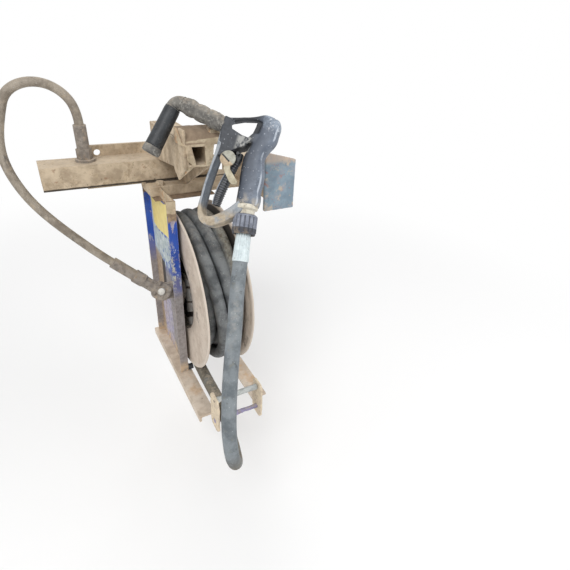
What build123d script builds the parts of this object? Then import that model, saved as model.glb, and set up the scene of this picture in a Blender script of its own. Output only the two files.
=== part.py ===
from build123d import *
import math
import os

# Hose reel station for washing down, millimetres.
# X runs along the drum axis, Y points away from the user towards the mounting face, Z is up.
# The origin is the centre of the four bolt holes on the back face of the mounting plate.

# Mounting plate and the rail welded to it
plate_width = 260.0
plate_height = 90.0
plate_thickness = 8.0
bolt_spacing_x = 200.0
bolt_spacing_z = 60.0
bolt_hole_radius = 6.75
rail_left_x = -215.0
rail_right_x = 135.0
rail_depth = 62.0
rail_height = 46.0
rail_wall = 4.0

# Carrier bar that hangs from the rail and holds the arm and the gun holder
carrier_left_x = -22.0
carrier_right_x = 240.0
carrier_depth = 78.0
carrier_thickness = 22.0
carrier_under_rail = 40.0

# Arm, a folded channel that opens to the left
arm_depth = 194.0
arm_flange = 18.0
arm_sheet = 3.0
arm_behind_plate = 14.0
shelf_reach = 112.0
shelf_depth = 112.0

# Base under the arm
base_width = 35.0
base_thickness = 5.0
base_lip = 16.0
base_outboard = 27.0
base_front_reach = 150.0
base_back_gap = 4.0
right_rail_x = 98.0
tie_depth = 36.0

# Drum
axis_behind_arm_front = 51.0
disc_base_gap = 16.5
disc_top_gap = 13.5
disc_radius = 187.5
disc_sheet = 2.0
disc_bead_radius = 3.0
disc_left_x = 8.0
disc_spacing = 98.0
barrel_radius = 95.0
barrel_wall = 2.0
hub_recess = 16.0
hub_sheet = 3.0
shaft_radius = 15.0
shaft_clearance = 0.05
shaft_inner_length = 66.0
shaft_past_web = 21.0
shaft_end_gap = 0.5
arm_hole_radius = 18.0
housing_radius = 40.0
housing_thickness = 6.0
boss_radius = 25.0
boss_length = 10.0
collar_radius = 32.0
collar_thickness = 4.0
hub_bolt_circle = 25.0
hub_bolt_radius = 4.0
hub_bolt_height = 2.5
hub_bolt_count = 4

# Wound hose
hose_radius = 12.75
coil_radius = 172.0
coil_gap = 0.5

# Swivel and feed line
swivel_sleeve_radius = 19.0
swivel_reach = 29.0
swivel_cover_radius = 21.5
swivel_cover_behind = 10.0
swivel_cover_ahead = 20.0
cap_radius = 8.5
cap_height = 5.0
cap_round = 2.5
feed_radius = 8.5
feed_nut_radius = 15.0
feed_nut_length = 20.0
feed_stub_radius = 13.0
feed_stub_length = 28.0
feed_ferrule_radius = 12.0
feed_ferrule_length = 52.0
inlet_x = -128.0
inlet_ferrule_length = 45.0
inlet_nut_length = 20.0
inlet_flange_radius = 19.0
inlet_flange_thickness = 5.0

# Hose guide at the front of the base
guide_plate_thickness = 5.0
guide_plate_depth = 40.0
guide_plate_height = 92.0
guide_plate_drop = 22.0
guide_plate_round = 13.0
guide_ahead_of_arm = 171.0
guide_inner_left = 4.0
guide_inner_right = 98.0
roller_height = 54.0
roller_radius = 6.5
roller_pin_radius = 3.0
roller_clearance = 0.05
roller_end_gap = 1.0
cross_bar_height = -4.0
cross_bar_radius = 5.0
lock_knob_radius = 7.0
lock_knob_length = 12.0
lock_knob_overhang = 3.0
lock_knob_lift = 1.0

# Gun holder on the carrier bar
holder_tube = 40.0
holder_wall = 4.0
holder_x = 35.0
holder_front_y = -251.0
holder_tube_bottom_z = 53.0
holder_plate = 6.0
brace_toe_y = -209.0
brace_toe_z = 20.0
brace_heel_y = -182.0
brace_heel_z = 38.0
rest_right_x = 92.0
rest_depth = 40.0
rest_thickness = 24.0
rest_wall = 4.0
end_plate_left_x = 165.0
end_plate_width = 68.0
end_plate_left_height = 118.0
end_plate_right_height = 100.0
end_plate_drop = 24.0
end_plate_thickness = 8.0
end_plate_front_y = -262.0
end_box_width = 58.0
end_box_height = 60.0
end_box_wall = 4.0

# Spray gun, drawn in its own plane: u runs towards the barrel, v runs up the grip
gun_head_x = 90.0
gun_ahead_of_holder = 25.0
gun_thickness = 30.0
gun_seat_gap = 0.3
barrel_root = (19.0, 2.4)
barrel_rise = 11.0
root_half_height = 12.0
grip_end_place = (-68.0, -131.0)
grip_half_depth = 20.5
sleeve_radius = 13.0
sleeve_neck_radius = 11.0
sleeve_length = 78.0
elbow_radius = 13.0
elbow_reach = 16.0
nozzle_turn = -80.0
nozzle_radius = 15.0
nozzle_length = 86.0
trigger_thickness = 14.0
trigger_slot = 16.0
trigger_pin_radius = 2.5
trigger_clearance = 0.05
catch_radius = 13.5
catch_thickness = 4.0
gun_ring_radius = 14.0
gun_ring_length = 7.0
coupling_radius = 21.0
coupling_length = 34.0
hose_sleeve_radius = 15.0
hose_sleeve_length = 46.0
coupling_turn = 10.7

# Routes of the two hoses, the points between their fittings
working_route = [
    (26, -157, -431.3),
    (25, -212, -432.5),
    (23, -270, -434),
    (22, -328, -433),
    (20, -384, -432.5),
    (13, -433, -454),
    (2, -483, -451),
    (-14, -523, -418),
    (-29, -542, -366),
    (-31, -537, -308),
    (-23, -521, -252),
    (-10, -498, -202),
    (10, -464, -155),
]
feed_route = [
    (-177, -102, -113),
    (-196.5, -92, -93),
    (-214.5, -82, -73),
    (-230, -72, -54),
    (-244.5, -62, -32),
    (-256, -53, -8),
    (-265, -45, 19),
    (-269, -39, 50),
    (-264.5, -36, 84),
    (-254, -36, 118),
    (-240.6, -36, 151.6),
    (-210.4, -37, 169),
    (-175.6, -38, 169),
    (-145.4, -39, 151.6),
    (-128, -39, 121),
]
first_run = 32.0
last_run = 52.0

# Places worked out from the sizes above
carrier_bottom_z = -rail_height / 2 - carrier_thickness
arm_height = 2 * disc_radius + disc_base_gap + disc_top_gap
arm_top_z = carrier_bottom_z
base_top_z = arm_top_z - arm_height
arm_back_y = -arm_behind_plate
arm_front_y = arm_back_y - arm_depth
rail_back_y = -plate_thickness
rail_front_y = rail_back_y - rail_depth
rail_bottom_z = -rail_height / 2
carrier_back_y = rail_front_y + carrier_under_rail
carrier_front_y = carrier_back_y - carrier_depth
axis_y = arm_front_y + axis_behind_arm_front
axis_z = base_top_z + disc_base_gap + disc_radius
disc_right_x = disc_left_x + disc_spacing
guide_y = arm_front_y - guide_ahead_of_arm
roller_z = base_top_z + roller_height
cross_bar_z = base_top_z + cross_bar_height

os.makedirs("parts", exist_ok=True)


def write(piece, name):
    """Labels a finished piece and writes it as one STEP file."""
    piece.part.label = name
    export_step(piece.part, "parts/" + name + ".step")


def along_x(x, y, z):
    """A plane whose normal is +X, with its own x along +Y and its own y along +Z."""
    return Plane(origin=(x, y, z), x_dir=(0, 1, 0), z_dir=(1, 0, 0))


def against_y(x, y, z):
    """A plane whose normal is -Y, with its own x along +X and its own y along +Z."""
    return Plane(origin=(x, y, z), x_dir=(1, 0, 0), z_dir=(0, -1, 0))


# Mounting plate
with BuildPart() as mounting_plate:
    with BuildSketch(Plane.XZ):
        Rectangle(plate_width, plate_height)
        with GridLocations(bolt_spacing_x, bolt_spacing_z, 2, 2):
            Circle(bolt_hole_radius, mode=Mode.SUBTRACT)
    extrude(amount=plate_thickness)
write(mounting_plate, "mounting_plate")

# Rail, a hollow section along X
rail_mid_y = (rail_back_y + rail_front_y) / 2
with BuildPart() as rail:
    with BuildSketch(along_x(rail_left_x, rail_mid_y, 0)):
        Rectangle(rail_depth, rail_height)
        Rectangle(rail_depth - 2 * rail_wall, rail_height - 2 * rail_wall, mode=Mode.SUBTRACT)
    extrude(amount=rail_right_x - rail_left_x)
write(rail, "rail")

# Carrier bar
with BuildPart() as carrier_bar:
    with BuildSketch(along_x(carrier_left_x, (carrier_back_y + carrier_front_y) / 2, carrier_bottom_z)):
        Rectangle(carrier_depth, carrier_thickness, align=(Align.CENTER, Align.MIN))
    extrude(amount=carrier_right_x - carrier_left_x)
write(carrier_bar, "carrier_bar")

# Arm with its flanges, and the shelf folded over to the right at its top
with BuildPart() as arm:
    with BuildSketch(Plane.XY.offset(base_top_z)):
        with BuildLine():
            Polyline(
                (-arm_flange, arm_front_y),
                (0, arm_front_y),
                (0, arm_back_y),
                (-arm_flange, arm_back_y),
                (-arm_flange, arm_back_y - arm_sheet),
                (-arm_sheet, arm_back_y - arm_sheet),
                (-arm_sheet, arm_front_y + arm_sheet),
                (-arm_flange, arm_front_y + arm_sheet),
                close=True,
            )
        make_face()
    extrude(amount=arm_height)
    with BuildSketch(Plane.XY.offset(arm_top_z)):
        with Locations((-arm_flange, arm_back_y)):
            Rectangle(arm_flange + shelf_reach, shelf_depth, align=(Align.MIN, Align.MAX))
    extrude(amount=-arm_sheet)
    with BuildSketch(along_x(-arm_flange, axis_y, axis_z)):
        Circle(arm_hole_radius)
    extrude(amount=arm_flange, mode=Mode.SUBTRACT)
write(arm, "arm")

# Base members: the left one is an angle under the arm, the right one a flat, tied at the back
base_front_y = arm_front_y - base_front_reach
base_back_y = -base_back_gap
base_length = base_back_y - base_front_y
with BuildPart() as base_left:
    with BuildSketch(against_y(0, base_back_y, 0)):
        with BuildLine():
            Polyline(
                (-base_outboard, base_top_z),
                (base_width - base_outboard, base_top_z),
                (base_width - base_outboard, base_top_z - base_thickness),
                (base_thickness - base_outboard, base_top_z - base_thickness),
                (base_thickness - base_outboard, base_top_z - base_lip),
                (-base_outboard, base_top_z - base_lip),
                close=True,
            )
        make_face()
    extrude(amount=base_length)
write(base_left, "base_left")

with BuildPart() as base_right:
    with BuildSketch(Plane.XY.offset(base_top_z - base_thickness)):
        with Locations((right_rail_x, base_back_y)):
            Rectangle(base_width, base_length, align=(Align.MIN, Align.MAX))
    extrude(amount=base_thickness)
write(base_right, "base_right")

with BuildPart() as base_tie:
    with BuildSketch(Plane.XY.offset(base_top_z - base_thickness)):
        with Locations((base_width - base_outboard, base_back_y)):
            Rectangle(
                right_rail_x - (base_width - base_outboard), tie_depth, align=(Align.MIN, Align.MAX)
            )
    extrude(amount=base_thickness)
write(base_tie, "base_tie")

# Bearing housing on the arm's web
with BuildPart() as bearing_housing:
    with BuildSketch(along_x(0, axis_y, axis_z)):
        Circle(housing_radius)
        Circle(shaft_radius + shaft_clearance, mode=Mode.SUBTRACT)
    extrude(amount=housing_thickness)
    with BuildSketch(along_x(housing_thickness, axis_y, axis_z)):
        Circle(boss_radius)
        Circle(shaft_radius + shaft_clearance, mode=Mode.SUBTRACT)
    extrude(amount=boss_length)
write(bearing_housing, "bearing_housing")

# Drum shaft with the collar that carries the hub plate
hub_left_x = disc_left_x + hub_recess
collar_left_x = hub_left_x - collar_thickness
shaft_left_x = -shaft_past_web
with BuildPart() as drum_shaft:
    with BuildSketch(along_x(shaft_left_x, axis_y, axis_z)):
        Circle(shaft_radius)
    extrude(amount=shaft_inner_length + hub_left_x - shaft_left_x)
    with BuildSketch(along_x(collar_left_x, axis_y, axis_z)):
        Circle(collar_radius)
    extrude(amount=collar_thickness)
write(drum_shaft, "drum_shaft")

# Hub bolts on the collar
with BuildPart() as hub_bolts:
    with BuildSketch(along_x(collar_left_x, axis_y, axis_z)):
        with PolarLocations(hub_bolt_circle, hub_bolt_count, start_angle=45):
            RegularPolygon(hub_bolt_radius, 6)
    extrude(amount=-hub_bolt_height)
write(hub_bolts, "hub_bolts")


def disc_with_bead(x_face, outward):
    """A flat ring with a rolled bead at its rim, its inner face at x_face."""
    with BuildPart() as disc:
        with BuildSketch(Plane(origin=(0, axis_y, axis_z))):
            with Locations((x_face, barrel_radius)):
                Rectangle(
                    disc_sheet,
                    disc_radius - barrel_radius - disc_bead_radius,
                    align=(Align.MAX if outward < 0 else Align.MIN, Align.MIN),
                )
            with Locations((x_face + outward * disc_sheet / 2, disc_radius - disc_bead_radius)):
                Circle(disc_bead_radius)
        revolve(axis=drum_axis, revolution_arc=360)
    return disc


# Discs and barrel
drum_axis = Axis((0, axis_y, axis_z), (1, 0, 0))
disc_faces = {"left_disc": (disc_left_x + disc_sheet, -1), "right_disc": (disc_right_x - disc_sheet, 1)}
for disc_name, (face_x, side) in disc_faces.items():
    write(disc_with_bead(face_x, side), disc_name)

with BuildPart() as drum_barrel:
    with BuildSketch(along_x(disc_left_x, axis_y, axis_z)):
        Circle(barrel_radius)
        Circle(barrel_radius - barrel_wall, mode=Mode.SUBTRACT)
    extrude(amount=disc_spacing)
write(drum_barrel, "drum_barrel")

hub_places = {"hub_plate_left": hub_left_x, "hub_plate_right": disc_right_x - hub_recess - hub_sheet}
for hub_name, hub_x in hub_places.items():
    with BuildPart() as hub_plate:
        with BuildSketch(along_x(hub_x, axis_y, axis_z)):
            Circle(barrel_radius - barrel_wall)
            Circle(shaft_radius, mode=Mode.SUBTRACT)
        extrude(amount=hub_sheet)
    write(hub_plate, hub_name)

# Wound hose as one closed ring
with BuildPart() as wound_hose:
    with BuildSketch(along_x(disc_left_x + disc_sheet + coil_gap, axis_y, axis_z)):
        Circle(coil_radius)
        Circle(barrel_radius, mode=Mode.SUBTRACT)
    extrude(amount=disc_spacing - 2 * disc_sheet - 2 * coil_gap)
write(wound_hose, "wound_hose")

# Swivel on the shaft's end, on the open side of the arm, with a cover that faces the user
feed_direction = Vector(-0.723, 0.266, 0.637).normalized()
cover_direction = Vector(-0.2, -0.83, 0.52).normalized()
swivel_centre = Vector(-arm_sheet - swivel_reach, axis_y, axis_z)
cover_back = swivel_centre - cover_direction * swivel_cover_behind
cover_front = swivel_centre + cover_direction * swivel_cover_ahead
feed_plane = Plane(origin=swivel_centre, x_dir=(0, 1, 0), z_dir=feed_direction)
feed_nut_start = swivel_cover_radius + feed_stub_length
with BuildPart() as swivel_body:
    with BuildSketch(along_x(-arm_sheet, axis_y, axis_z)):
        Circle(swivel_sleeve_radius)
    extrude(amount=-swivel_reach)
    with BuildSketch(Plane(origin=cover_back, x_dir=(0, 0, 1), z_dir=cover_direction)):
        Circle(swivel_cover_radius)
    extrude(amount=swivel_cover_behind + swivel_cover_ahead)
    with BuildSketch(feed_plane):
        Circle(feed_stub_radius)
    extrude(amount=feed_nut_start)
    with BuildSketch(along_x(-arm_sheet, axis_y, axis_z)):
        Circle(shaft_radius + shaft_clearance)
    extrude(amount=shaft_left_x + arm_sheet - shaft_end_gap, mode=Mode.SUBTRACT)
write(swivel_body, "swivel_body")

with BuildPart() as swivel_cap:
    with BuildSketch(Plane(origin=cover_front, x_dir=(0, 0, 1), z_dir=cover_direction)):
        Circle(cap_radius)
    extrude(amount=cap_height)
    cap_top = swivel_cap.faces().sort_by(Axis(tuple(cover_front), tuple(cover_direction)))[-1]
    fillet(cap_top.edges(), radius=cap_round)
write(swivel_cap, "swivel_cap")

with BuildPart() as feed_nut:
    with BuildSketch(feed_plane.offset(feed_nut_start)):
        RegularPolygon(feed_nut_radius, 6)
    extrude(amount=feed_nut_length)
write(feed_nut, "feed_nut")

with BuildPart() as feed_ferrule:
    with BuildSketch(feed_plane.offset(feed_nut_start + feed_nut_length)):
        Circle(feed_ferrule_radius)
    extrude(amount=feed_ferrule_length)
write(feed_ferrule, "feed_ferrule")

# Guide plates, roller and cross bar
guide_front_y = guide_y - guide_plate_depth / 2
guide_plate_bottom_z = cross_bar_z - guide_plate_drop
for plate_name, plate_x in {
    "guide_plate_left": guide_inner_left - guide_plate_thickness,
    "guide_plate_right": guide_inner_right,
}.items():
    with BuildPart() as guide_plate:
        with BuildSketch(along_x(plate_x, base_front_y, guide_plate_bottom_z)) as guide_profile:
            Rectangle(
                base_front_y - guide_front_y, guide_plate_height, align=(Align.MAX, Align.MIN)
            )
            fillet(guide_profile.vertices(), radius=guide_plate_round)
            with Locations((guide_y - base_front_y, roller_z - guide_plate_bottom_z)):
                Circle(roller_pin_radius, mode=Mode.SUBTRACT)
            with Locations((guide_y - base_front_y, cross_bar_z - guide_plate_bottom_z)):
                Circle(cross_bar_radius, mode=Mode.SUBTRACT)
        extrude(amount=guide_plate_thickness)
    write(guide_plate, plate_name)

pin_length = guide_inner_right - guide_inner_left + 2 * guide_plate_thickness
with BuildPart() as roller_pin:
    with BuildSketch(along_x(guide_inner_left - guide_plate_thickness, guide_y, roller_z)):
        Circle(roller_pin_radius)
    extrude(amount=pin_length)
write(roller_pin, "roller_pin")

with BuildPart() as guide_roller:
    with BuildSketch(along_x(guide_inner_left + roller_end_gap, guide_y, roller_z)):
        Circle(roller_radius)
        Circle(roller_pin_radius + roller_clearance, mode=Mode.SUBTRACT)
    extrude(amount=guide_inner_right - guide_inner_left - 2 * roller_end_gap)
write(guide_roller, "guide_roller")

with BuildPart() as cross_bar:
    with BuildSketch(along_x(guide_inner_left - guide_plate_thickness, guide_y, cross_bar_z)):
        Circle(cross_bar_radius)
    extrude(amount=pin_length)
write(cross_bar, "cross_bar")

# Lock knob low on the arm's web
lock_knob_y = arm_front_y + lock_knob_radius - lock_knob_overhang
lock_knob_z = base_top_z + lock_knob_radius + lock_knob_lift
with BuildPart() as lock_knob:
    with BuildSketch(along_x(0, lock_knob_y, lock_knob_z)):
        Circle(lock_knob_radius)
    extrude(amount=lock_knob_length)
write(lock_knob, "lock_knob")

# Gun holder: a square tube along Y, side plates down to the carrier bar, and a rest on top
holder_tube_top_z = holder_tube_bottom_z + holder_tube
rest_top_z = holder_tube_top_z + rest_thickness
carrier_top_z = rail_bottom_z
holder_tube_mid_z = holder_tube_bottom_z + holder_tube / 2
with BuildPart() as holder_tube_part:
    with BuildSketch(against_y(holder_x, carrier_back_y, holder_tube_mid_z)):
        Rectangle(holder_tube, holder_tube)
        Rectangle(holder_tube - 2 * holder_wall, holder_tube - 2 * holder_wall, mode=Mode.SUBTRACT)
    extrude(amount=carrier_back_y - holder_front_y)
write(holder_tube_part, "holder_tube")

holder_left_x = holder_x - holder_tube / 2
holder_right_x = holder_x + holder_tube / 2
rail_top_z = rail_height / 2
rest_back_y = holder_front_y + rest_depth
left_outline = [
    (holder_front_y, rest_top_z),
    (holder_front_y, holder_tube_bottom_z),
    (brace_toe_y, brace_toe_z),
    (brace_heel_y, brace_heel_z),
    (rail_front_y, rail_top_z),
    (carrier_back_y, rail_top_z),
    (carrier_back_y, holder_tube_top_z),
    (rest_back_y, holder_tube_top_z),
    (rest_back_y, rest_top_z),
]
right_outline = [
    (holder_front_y, holder_tube_top_z),
    (holder_front_y, holder_tube_bottom_z),
    (carrier_front_y, carrier_top_z),
    (rail_front_y, carrier_top_z),
    (rail_front_y, holder_tube_bottom_z),
    (carrier_back_y, holder_tube_bottom_z),
    (carrier_back_y, holder_tube_top_z),
]
for side_name, side_x, side_outline in (
    ("holder_plate_left", holder_left_x - holder_plate, left_outline),
    ("holder_plate_right", holder_right_x, right_outline),
):
    with BuildPart() as holder_side:
        with BuildSketch(along_x(side_x, 0, 0)):
            with BuildLine():
                Polyline(*side_outline, close=True)
            make_face()
        extrude(amount=holder_plate)
    write(holder_side, side_name)

with BuildPart() as rest_box:
    with BuildSketch(along_x(holder_left_x, holder_front_y, holder_tube_top_z)):
        Rectangle(rest_depth, rest_thickness, align=(Align.MIN, Align.MIN))
        with Locations((rest_wall, rest_wall)):
            Rectangle(
                rest_depth - 2 * rest_wall,
                rest_thickness - 2 * rest_wall,
                align=(Align.MIN, Align.MIN),
                mode=Mode.SUBTRACT,
            )
    extrude(amount=rest_right_x - holder_left_x)
write(rest_box, "rest_box")

# End box on the carrier bar with its front plate
end_box_mid_x = end_plate_left_x + end_plate_width / 2
end_box_front_y = end_plate_front_y + end_plate_thickness
with BuildPart() as end_box:
    with BuildSketch(against_y(end_box_mid_x, carrier_back_y, carrier_top_z)):
        Rectangle(end_box_width, end_box_height, align=(Align.CENTER, Align.MIN))
        with Locations((0, end_box_wall)):
            Rectangle(
                end_box_width - 2 * end_box_wall,
                end_box_height - 2 * end_box_wall,
                align=(Align.CENTER, Align.MIN),
                mode=Mode.SUBTRACT,
            )
    extrude(amount=carrier_back_y - end_box_front_y)
write(end_box, "end_box")

with BuildPart() as end_plate:
    with BuildSketch(against_y(end_plate_left_x, end_box_front_y, carrier_top_z - end_plate_drop)):
        with BuildLine():
            Polyline(
                (0, 0),
                (end_plate_width, 0),
                (end_plate_width, end_plate_right_height),
                (0, end_plate_left_height),
                close=True,
            )
        make_face()
    extrude(amount=end_plate_thickness)
write(end_plate, "end_plate")

# Directions of the gun's plane: grip_up along the grip, towards_barrel square to it
grip_up = Vector(0.462, 0.301, 0.834).normalized()
barrel_hint = Vector(-0.705, 0.695, 0.140)
towards_barrel = (barrel_hint - grip_up * barrel_hint.dot(grip_up)).normalized()
gun_normal = towards_barrel.cross(grip_up)
rise = math.radians(barrel_rise)
barrel_direction = towards_barrel * math.cos(rise) + grip_up * math.sin(rise)
root_offset = towards_barrel * barrel_root[0] + grip_up * barrel_root[1]
gun_head_y = holder_front_y - gun_ahead_of_holder
root_to_edge_y = gun_head_y + root_offset.Y - holder_front_y
seat_reach = (sleeve_radius + gun_seat_gap) * math.hypot(barrel_direction.Y, barrel_direction.Z)
root_above_rest = (seat_reach + barrel_direction.Z * root_to_edge_y) / barrel_direction.Y
gun_head_z = rest_top_z + root_above_rest - root_offset.Z
gun_head = Vector(gun_head_x, gun_head_y, gun_head_z)


def gun_point(u, v):
    """A point of the gun's plane in the object's frame."""
    return gun_head + towards_barrel * u + grip_up * v


def gun_plane(u=0.0, v=0.0, offset=0.0):
    """The gun's own plane, moved to (u, v) and along its normal."""
    place = gun_point(u, v) + gun_normal * offset
    return Plane(origin=place, x_dir=towards_barrel, z_dir=gun_normal)


# Gun body: grip at the back, closed guard in front, a window under the head
down_turn = math.radians(coupling_turn)
root_u, root_v = barrel_root
grip_u, grip_v = grip_end_place
body_outline = [
    (root_u - root_half_height * math.sin(rise), root_v + root_half_height * math.cos(rise)),
    (-28, 24.5),
    (-47, 32),
    (-62, 36),
    (-74, 33),
    (-82, 27),
    (-86, 16),
    (-86, -2),
    (-80, -16),
    (-76, -30),
    (-75.5, -43),
    (-82, -70),
    (-85, -99),
    (grip_u - grip_half_depth * math.cos(down_turn), grip_v + grip_half_depth * math.sin(down_turn)),
    (grip_u + grip_half_depth * math.cos(down_turn), grip_v - grip_half_depth * math.sin(down_turn)),
    (-42, -146),
    (-31, -155.5),
    (-16.5, -165.5),
    (-5, -167),
    (4, -164.5),
    (9, -156),
    (11.5, -140),
    (12.5, -112),
    (12, -84),
    (10.5, -58),
    (8.5, -30),
    (root_u + root_half_height * math.sin(rise), root_v - root_half_height * math.cos(rise)),
]
hand_opening = [
    (-10, -52),
    (-35, -52),
    (-38, -68),
    (-45, -118),
    (-41, -134),
    (-32, -148),
    (-22, -155),
    (-8, -158),
    (2.5, -150),
    (6.5, -128),
    (7.5, -100),
    (6, -78),
    (1, -60),
]
head_window = [(0, 1), (-22, 11), (-40, 17), (-41, 2), (-30, -9)]
slot_outline = [(-12, -34), (-38, -34), (-38, -53), (-12, -53)]
trigger_pivot = (-28.0, -43.0)
with BuildPart() as gun_body:
    with BuildSketch(gun_plane(offset=-gun_thickness / 2)):
        with BuildLine():
            Polyline(*body_outline, close=True)
        make_face()
        with BuildLine():
            Polyline(*hand_opening, close=True)
        make_face(mode=Mode.SUBTRACT)
        with BuildLine():
            Polyline(*head_window, close=True)
        make_face(mode=Mode.SUBTRACT)
    extrude(amount=gun_thickness)
    with BuildSketch(gun_plane(offset=-trigger_slot / 2)):
        with BuildLine():
            Polyline(*slot_outline, close=True)
        make_face()
    extrude(amount=trigger_slot, mode=Mode.SUBTRACT)
    with BuildSketch(gun_plane(*trigger_pivot, offset=-gun_thickness / 2)):
        Circle(trigger_pin_radius)
    extrude(amount=gun_thickness, mode=Mode.SUBTRACT)
write(gun_body, "gun_body")

with BuildPart() as trigger_pin:
    with BuildSketch(gun_plane(*trigger_pivot, offset=-gun_thickness / 2)):
        Circle(trigger_pin_radius)
    extrude(amount=gun_thickness)
write(trigger_pin, "trigger_pin")

trigger_outline = [
    (-22, -38),
    (-33, -38),
    (-33.5, -50),
    (-25, -100),
    (-21, -138),
    (-8, -138),
    (-9, -100),
    (-19, -56),
]
with BuildPart() as trigger:
    with BuildSketch(gun_plane(offset=-trigger_thickness / 2)):
        with BuildLine():
            Polyline(*trigger_outline, close=True)
        make_face()
        with Locations(trigger_pivot):
            Circle(trigger_pin_radius + trigger_clearance, mode=Mode.SUBTRACT)
    extrude(amount=trigger_thickness)
write(trigger, "trigger")

# Catch on the side of the gun body that faces the user
catch_centre = (-15, -57)
catch_lever = [(-11, -62), (-20, -62), (-43, -90), (-44, -94), (-34, -97), (-27, -95), (-11, -79)]
with BuildPart() as catch:
    with BuildSketch(gun_plane(offset=-gun_thickness / 2)):
        with Locations(catch_centre):
            Circle(catch_radius)
        with BuildLine():
            Polyline(*catch_lever, close=True)
        make_face()
    extrude(amount=-catch_thickness)
write(catch, "catch")

# Lance sleeve with three swellings, from the gun's head to the elbow
root_point = gun_point(*barrel_root)
sleeve_profile = [
    (0, 0),
    (sleeve_neck_radius, 0),
    (sleeve_radius, 5),
    (sleeve_radius, 22),
    (sleeve_neck_radius, 28.5),
    (sleeve_radius, 35),
    (sleeve_radius, 46),
    (sleeve_neck_radius, 52.5),
    (sleeve_radius, 59),
    (sleeve_radius, 70),
    (sleeve_neck_radius, sleeve_length),
    (0, sleeve_length),
]
sleeve_plane = Plane(origin=root_point, x_dir=gun_normal, z_dir=gun_normal.cross(barrel_direction))
with BuildPart() as lance_sleeve:
    with BuildSketch(sleeve_plane):
        with BuildLine():
            Polyline(*sleeve_profile, close=True)
        make_face()
    revolve(axis=Axis(root_point, barrel_direction), revolution_arc=360)
write(lance_sleeve, "lance_sleeve")

# Elbow and nozzle
turn = math.radians(nozzle_turn)
nozzle_direction = towards_barrel * math.cos(turn) + grip_up * math.sin(turn)
sleeve_end = root_point + barrel_direction * sleeve_length
elbow_centre = sleeve_end + barrel_direction * elbow_reach
with BuildPart() as elbow:
    with BuildSketch(Plane(origin=sleeve_end, x_dir=gun_normal, z_dir=barrel_direction)):
        Circle(elbow_radius)
    extrude(amount=elbow_reach)
    with Locations(elbow_centre):
        Sphere(elbow_radius)
    with BuildSketch(Plane(origin=elbow_centre, x_dir=gun_normal, z_dir=nozzle_direction)):
        Circle(elbow_radius)
    extrude(amount=elbow_reach)
write(elbow, "elbow")

nozzle_start = elbow_centre + nozzle_direction * elbow_reach
with BuildPart() as nozzle:
    with BuildSketch(Plane(origin=nozzle_start, x_dir=gun_normal, z_dir=nozzle_direction)):
        Circle(nozzle_radius)
    extrude(amount=nozzle_length)
write(nozzle, "nozzle")

# Hose end pieces under the grip
coupling_direction = grip_up * -math.cos(down_turn) - towards_barrel * math.sin(down_turn)
grip_end = gun_point(*grip_end_place)
hose_pieces = (
    ("gun_ring", 0.0, gun_ring_radius, gun_ring_length),
    ("coupling_nut", gun_ring_length, coupling_radius, coupling_length),
    ("hose_sleeve", gun_ring_length + coupling_length, hose_sleeve_radius, hose_sleeve_length),
)
for piece_name, start, radius, length in hose_pieces:
    piece_start = grip_end + coupling_direction * start
    with BuildPart() as hose_piece:
        with BuildSketch(Plane(origin=piece_start, x_dir=gun_normal, z_dir=coupling_direction)):
            Circle(radius)
        extrude(amount=length)
    write(hose_piece, piece_name)
sleeve_bottom = grip_end + coupling_direction * (gun_ring_length + coupling_length + hose_sleeve_length)

# Inlet of the feed line on top of the rail
inlet_pieces = (
    ("inlet_flange", inlet_flange_radius, inlet_flange_thickness),
    ("inlet_nut", feed_nut_radius, inlet_nut_length),
    ("inlet_ferrule", feed_ferrule_radius, inlet_ferrule_length),
)
inlet_z = rail_top_z
for piece_name, radius, length in inlet_pieces:
    with BuildPart() as inlet_piece:
        with BuildSketch(Plane.XY.offset(inlet_z)):
            with Locations((inlet_x, rail_mid_y)):
                if piece_name == "inlet_nut":
                    RegularPolygon(radius, 6)
                else:
                    Circle(radius)
        extrude(amount=length)
    write(inlet_piece, piece_name)
    inlet_z += length


def hose_radii(points):
    """The bend radius at each inner point of a route, as large as its two runs allow."""
    radii = []
    for before, here, after in zip(points, points[1:], points[2:]):
        shorter = min((here - before).length, (after - here).length)
        half_turn = math.radians((here - before).get_angle(after - here)) / 2
        radii.append(0.45 * shorter / math.tan(half_turn))
    return radii


def hose_tube(name, points, radius):
    """A round hose along straight runs joined by tangent arcs."""
    radii = hose_radii(points)
    with BuildPart() as tube:
        with BuildLine() as path:
            FilletPolyline(*points, radius=radii)
        start_plane = Plane(origin=points[0], z_dir=points[1] - points[0])
        with BuildSketch(start_plane):
            Circle(radius)
        sweep(path=path.wires()[0])
    write(tube, name)
    length = path.wires()[0].length
    share = tube.part.volume / (math.pi * radius**2 * length)
    print(name, "length", round(length), "volume share", round(share, 4), "radii", [round(r) for r in radii])


working_points = [Vector(*point) for point in working_route]
working_points += [sleeve_bottom + coupling_direction * last_run, sleeve_bottom]
hose_tube("working_hose", working_points, hose_radius)
ferrule_end = swivel_centre + feed_direction * (feed_nut_start + feed_nut_length + feed_ferrule_length)
feed_points = [ferrule_end, ferrule_end + feed_direction * first_run]
feed_points += [Vector(*point) for point in feed_route]
feed_points += [Vector(inlet_x, rail_mid_y, inlet_z)]
hose_tube("feed_hose", feed_points, feed_radius)
print("working hose ends", sleeve_bottom, "feed hose starts", ferrule_end, "ends", feed_points[-1])
print("trigger pivot", gun_point(*trigger_pivot), "axis", gun_normal * -1)
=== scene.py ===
import math
import random

import bmesh
import bpy
import numpy as np
from mathutils import Matrix, Vector, noise


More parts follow.
